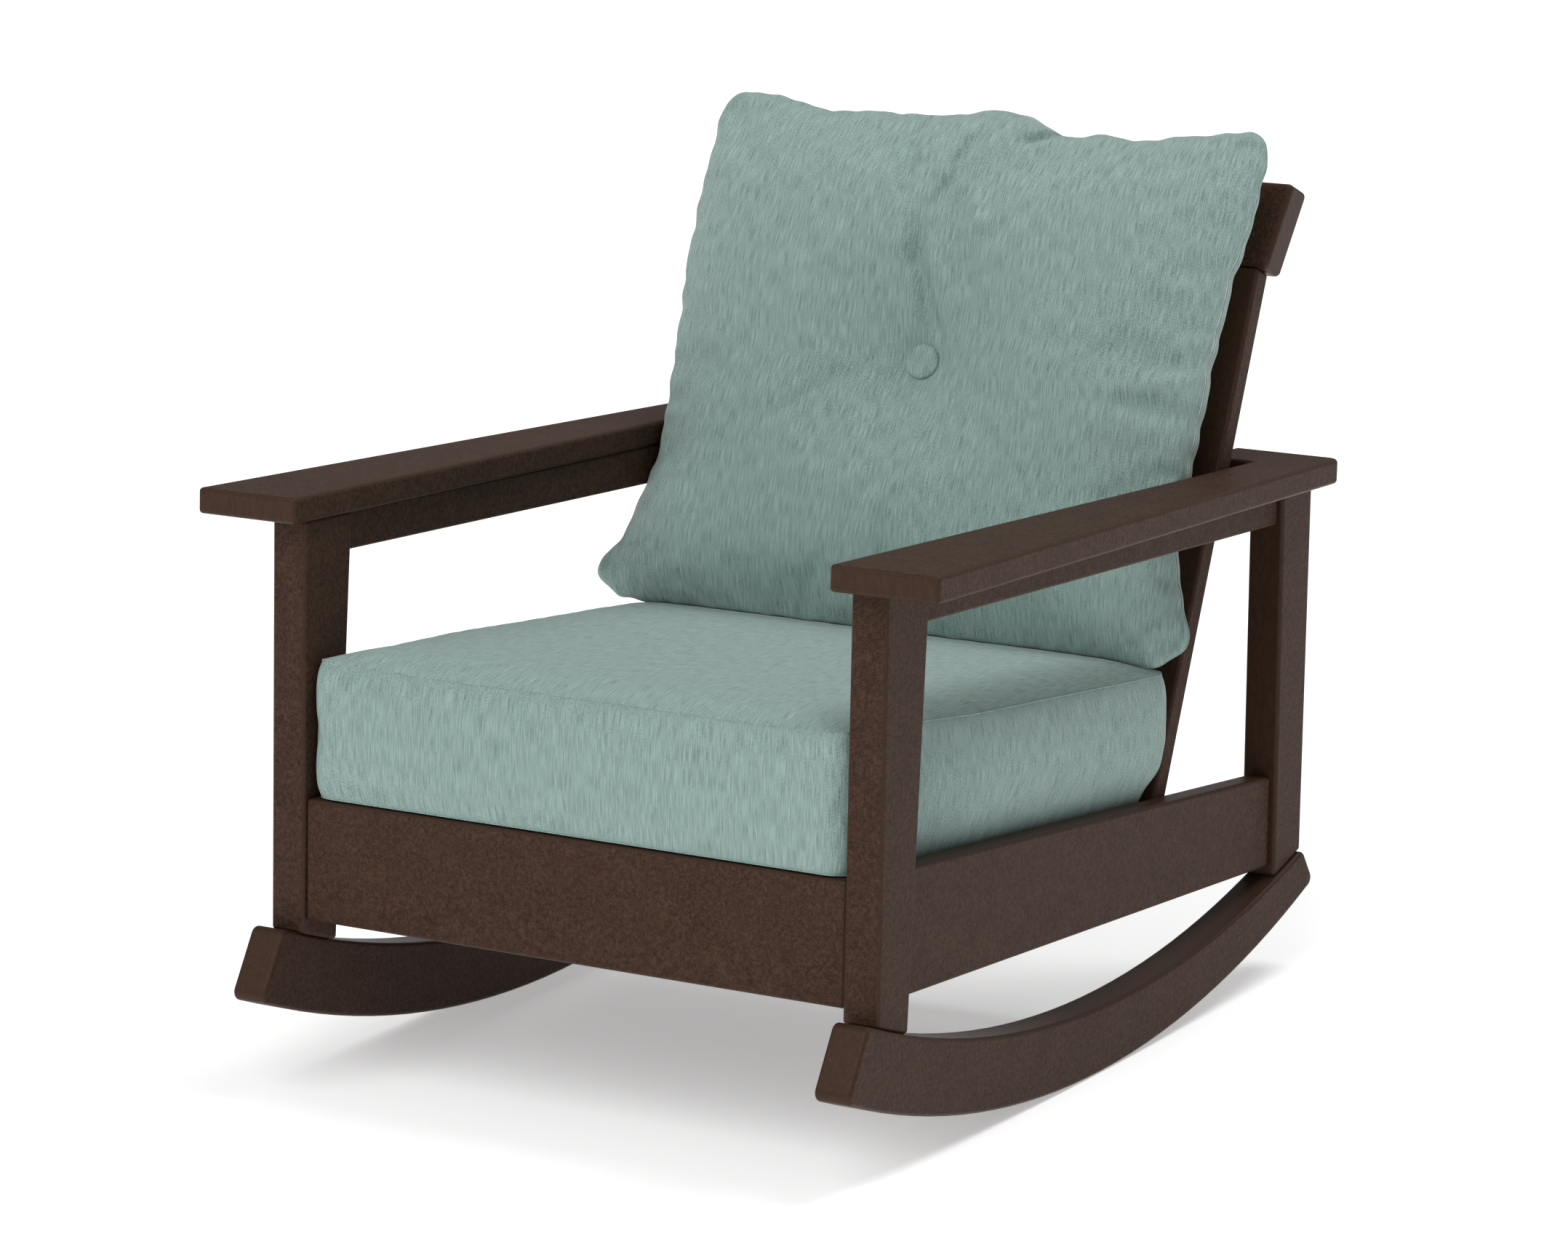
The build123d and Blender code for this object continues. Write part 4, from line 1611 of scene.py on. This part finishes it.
@dataclass
class Zip:
    """A nylon zip laid on the rear of a cushion: a tape and its teeth."""

    name: str
    node: str
    body: Body
    u: float
    half_length: float = 0.259
    tape: float = 0.012
    thickness: float = 0.0005
    lift: float = 0.0003
    stations: int = 105
    pitch: float = 0.0026
    stagger: float = 0.0008
    tooth: Scales = (0.0015, 0.0030, 0.0010)
    end_gap: float = 0.004
    approach: float = 0.20

    def line(self, target: bpy.types.Object, rise: float) -> np.ndarray:
        """Points along the zip on the target's rear face, raised a hair off it.

        Args:
            target: the cushion's cover.
            rise: how far above the zip's middle the line runs.

        Returns:
            The points.
        """
        tree = BVHTree.FromObject(target, bpy.context.evaluated_depsgraph_get())
        forward = AXES.forward()
        found = []
        for x in np.linspace(-self.half_length, self.half_length, self.stations):
            start = Vector(AXES.back(x, self.u + rise, -self.approach))
            hit = tree.ray_cast(start, forward)[0]
            spot = hit if hit is not None else start + forward * (self.approach + 0.003)
            found.append(np.array(spot - forward * self.lift))
        return np.array(found)

    def _tape(self, target: bpy.types.Object) -> bpy.types.Object:
        """The woven tape, a thin strip that follows the cushion.

        Args:
            target: the cushion's cover.

        Returns:
            The tape.
        """
        lines = [self.line(target, share * self.tape / 6) for share in (-3, -1, 1, 3)]
        count = self.stations
        thick = np.array(AXES.forward()) * self.thickness
        points = np.concatenate(lines + [line + thick for line in lines])
        at = np.arange(8 * count).reshape(8, count).tolist()
        strips = [(r, r + 1) for r in range(3)] + [(r + 5, r + 4) for r in range(3)] + [(4, 0), (3, 7)]
        steps = [(i, i + 1) for i in range(count - 1)]
        faces = [(at[a][i], at[b][i], at[b][j], at[a][j]) for a, b in strips for i, j in steps]
        for r in range(3):
            faces.append((at[r][0], at[r + 4][0], at[r + 5][0], at[r + 1][0]))
            faces.append((at[r + 1][-1], at[r + 5][-1], at[r + 4][-1], at[r][-1]))
        return add_mesh(self.name + "_tape", points, faces, smooth=False)

    def _teeth(self, target: bpy.types.Object) -> bpy.types.Object:
        """The teeth, small blocks set above and below the middle by turns.

        Args:
            target: the cushion's cover.

        Returns:
            The teeth.
        """
        middle = self.line(target, 0.0)
        forward, lean = np.array(AXES.forward()), np.array(AXES.lean())
        across = np.array((1.0, 0.0, 0.0))
        points, faces = [], []
        reach = self.half_length - self.end_gap
        for k, x in enumerate(np.arange(-reach, reach, self.pitch)):
            spot = np.array([np.interp(x, middle[:, 0], middle[:, c]) for c in range(3)])
            spot += lean * (self.stagger if k % 2 else -self.stagger) - forward * self.lift
            block, sides = box_mesh(spot, (across, lean, forward), self.tooth)
            faces += [tuple(v + len(points) for v in side) for side in sides]
            points += block
        return add_mesh(self.name + "_teeth", np.array(points), faces, smooth=False)

    def build(
        self, target: bpy.types.Object, tape: bpy.types.Material, teeth: bpy.types.Material
    ) -> list[bpy.types.Object]:
        """The zip's pieces on the target cushion.

        Args:
            target: the cushion's cover.
            tape: the tape's finish.
            teeth: the teeth's finish.

        Returns:
            The tape and the teeth.
        """
        band, row = self._tape(target), self._teeth(target)
        finish_piece(band, tape, self.body, (self.node,))
        finish_piece(row, teeth, self.body)
        return [band, row]


# ---- frame ---------------------------------------------------------------------------
@dataclass(frozen=True)
class FrameDress:
    """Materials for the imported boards, screws, dowels and cord."""

    lumber: LumberFinish = LumberFinish()
    faces: tuple[tuple[str, Faces], ...] = (
        ("arm_rail", Faces.SIDES),
        ("arm", Faces.TOP_AND_BOTTOM),
        ("back_slat", Faces.BACK_FACES),
        ("crest_rail", Faces.BACK_FACES),
        ("front_cleat", Faces.FRONT),
        ("front_post", Faces.SIDES_AND_FRONT),
        ("front_rail", Faces.FRONT),
        ("rear_post", Faces.SIDES),
        ("rear_rail", Faces.BACK_FACES),
        ("runner", Faces.SIDES),
        ("seat_cleat", Faces.SIDES),
        ("seat_rail", Faces.SIDES),
        ("seat_slat", Faces.TOP_AND_BOTTOM),
        ("upright", Faces.SIDES),
    )

    def apply(self) -> int:
        """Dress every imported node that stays.

        Returns:
            How many were dressed.
        """
        boards = {kind: self.lumber.material(kind) for kind in Faces}
        others = {
            "screws": SCREW_STEEL.material(),
            "dowels": DOWEL_PLASTIC.material(),
            "cord": CORD_TWIST.material(),
        }
        for name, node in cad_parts.items():
            kinds = [kind for start, kind in self.faces if name.startswith(start)]
            board = boards[kinds[0] if kinds else Faces.NONE]
            node.data.materials.clear()
            node.data.materials.append(others.get(name.split("_")[-1], board))
        return len(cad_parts)


# ---- studio --------------------------------------------------------------------------
def towards(azimuth: float, elevation: float) -> Vector:
    """Unit vector from the chair, azimuth 0 to the front and 90 to its +x side, in degrees."""
    a, e = math.radians(azimuth), math.radians(elevation)
    return Vector((math.sin(a) * math.cos(e), -math.cos(a) * math.cos(e), math.sin(e)))


@dataclass(frozen=True)
class Sun:
    """A soft distant light."""

    name: str
    azimuth: float
    elevation: float
    strength: float
    spread: float

    def build(self) -> None:
        """Add the light."""
        data = bpy.data.lights.new(self.name, "SUN")
        data.energy = self.strength
        data.angle = math.radians(self.spread)
        lamp = bpy.data.objects.new(self.name, data)
        lamp.rotation_euler = towards(self.azimuth, self.elevation).to_track_quat("Z", "Y").to_euler()
        bpy.context.scene.collection.objects.link(lamp)


@dataclass(frozen=True)
class Studio:
    """Pale floor, soft lights and a long-lens camera."""

    floor_half: float = 60.0
    world: float = 0.33
    suns: tuple[Sun, ...] = (
        Sun("key_light", -8.0, 48.0, 1.48, 50.0),
        Sun("top_light", 148.0, 66.0, 1.25, 26.0),
    )
    target: tuple[float, float, float] = (0.0380, -0.0804, 0.4222)
    azimuth: float = 30.903
    elevation: float = 12.424
    distance: float = 5.6753
    lens: float = 135.57
    sensor: float = 36.0
    far: float = 200.0
    floor_drop: float = 0.0004

    def build(self) -> None:
        """Add floor, sky, lights and camera."""
        h = self.floor_half
        floor = add_mesh("floor", np.array([(-h, -h, 0), (h, -h, 0), (h, h, 0), (-h, h, 0)]), [(0, 1, 2, 3)])
        floor.location.z = -self.floor_drop
        floor.data.materials.append(PALE_FLOOR.material())
        world = bpy.data.worlds.new("studio")
        world.use_nodes = True
        back = world.node_tree.nodes["Background"]
        back.inputs["Color"].default_value = (1.0, 1.0, 1.0, 1.0)
        back.inputs["Strength"].default_value = self.world
        bpy.context.scene.world = world
        for sun in self.suns:
            sun.build()
        bpy.context.scene.view_settings.view_transform = "Standard"
        data = bpy.data.cameras.new("camera")
        data.lens = self.lens
        data.sensor_width = self.sensor
        data.clip_end = self.far
        camera = bpy.data.objects.new("camera", data)
        back_way = towards(self.azimuth, self.elevation)
        camera.location = Vector(self.target) + back_way * self.distance
        camera.rotation_euler = back_way.to_track_quat("Z", "Y").to_euler()
        bpy.context.scene.collection.objects.link(camera)
        bpy.context.scene.camera = camera


def main() -> None:
    """Build every piece, dress the frame and set the stage."""
    logging.basicConfig(level=logging.INFO, format="%(name)s: %(message)s")
    LOG.info("dressed %d packed nodes", FrameDress().apply())
    cloth = ClothFinish().material("heathered_twill")
    seat = SeatCushion()
    cover = seat.build()
    for piece in seat.dress(cloth, FOAM_CELLS.material()):
        LOG.info("seat cushion piece %s", piece.name)
    back = BackCushion()
    back_cover = back.build(cover)
    for piece in back.dress(cloth, FIBRE_BAG.material()):
        LOG.info("back cushion piece %s", piece.name)
    buttons = (
        Button("button_front_cap", "button_front", 0.0875, 0.0085, 1),
        Button("button_rear_cap", "button_rear", 0.0078, 0.0046, -1),
    )
    for button in buttons:
        LOG.info("button %s", button.build(cloth).name)
    tape, teeth = ZIP_TAPE.material(), ZIP_TEETH.material()
    zips = (
        (Zip("back_cushion_zip", "back_zip", Body.BACK, -0.340), back_cover),
        (Zip("seat_cushion_zip", "seat_zip", Body.SEAT, -0.438), cover),
    )
    for fastening, target in zips:
        for piece in fastening.build(target, tape, teeth):
            LOG.info("zip piece %s", piece.name)
    Studio().build()


if __name__ == "__main__":
    main()
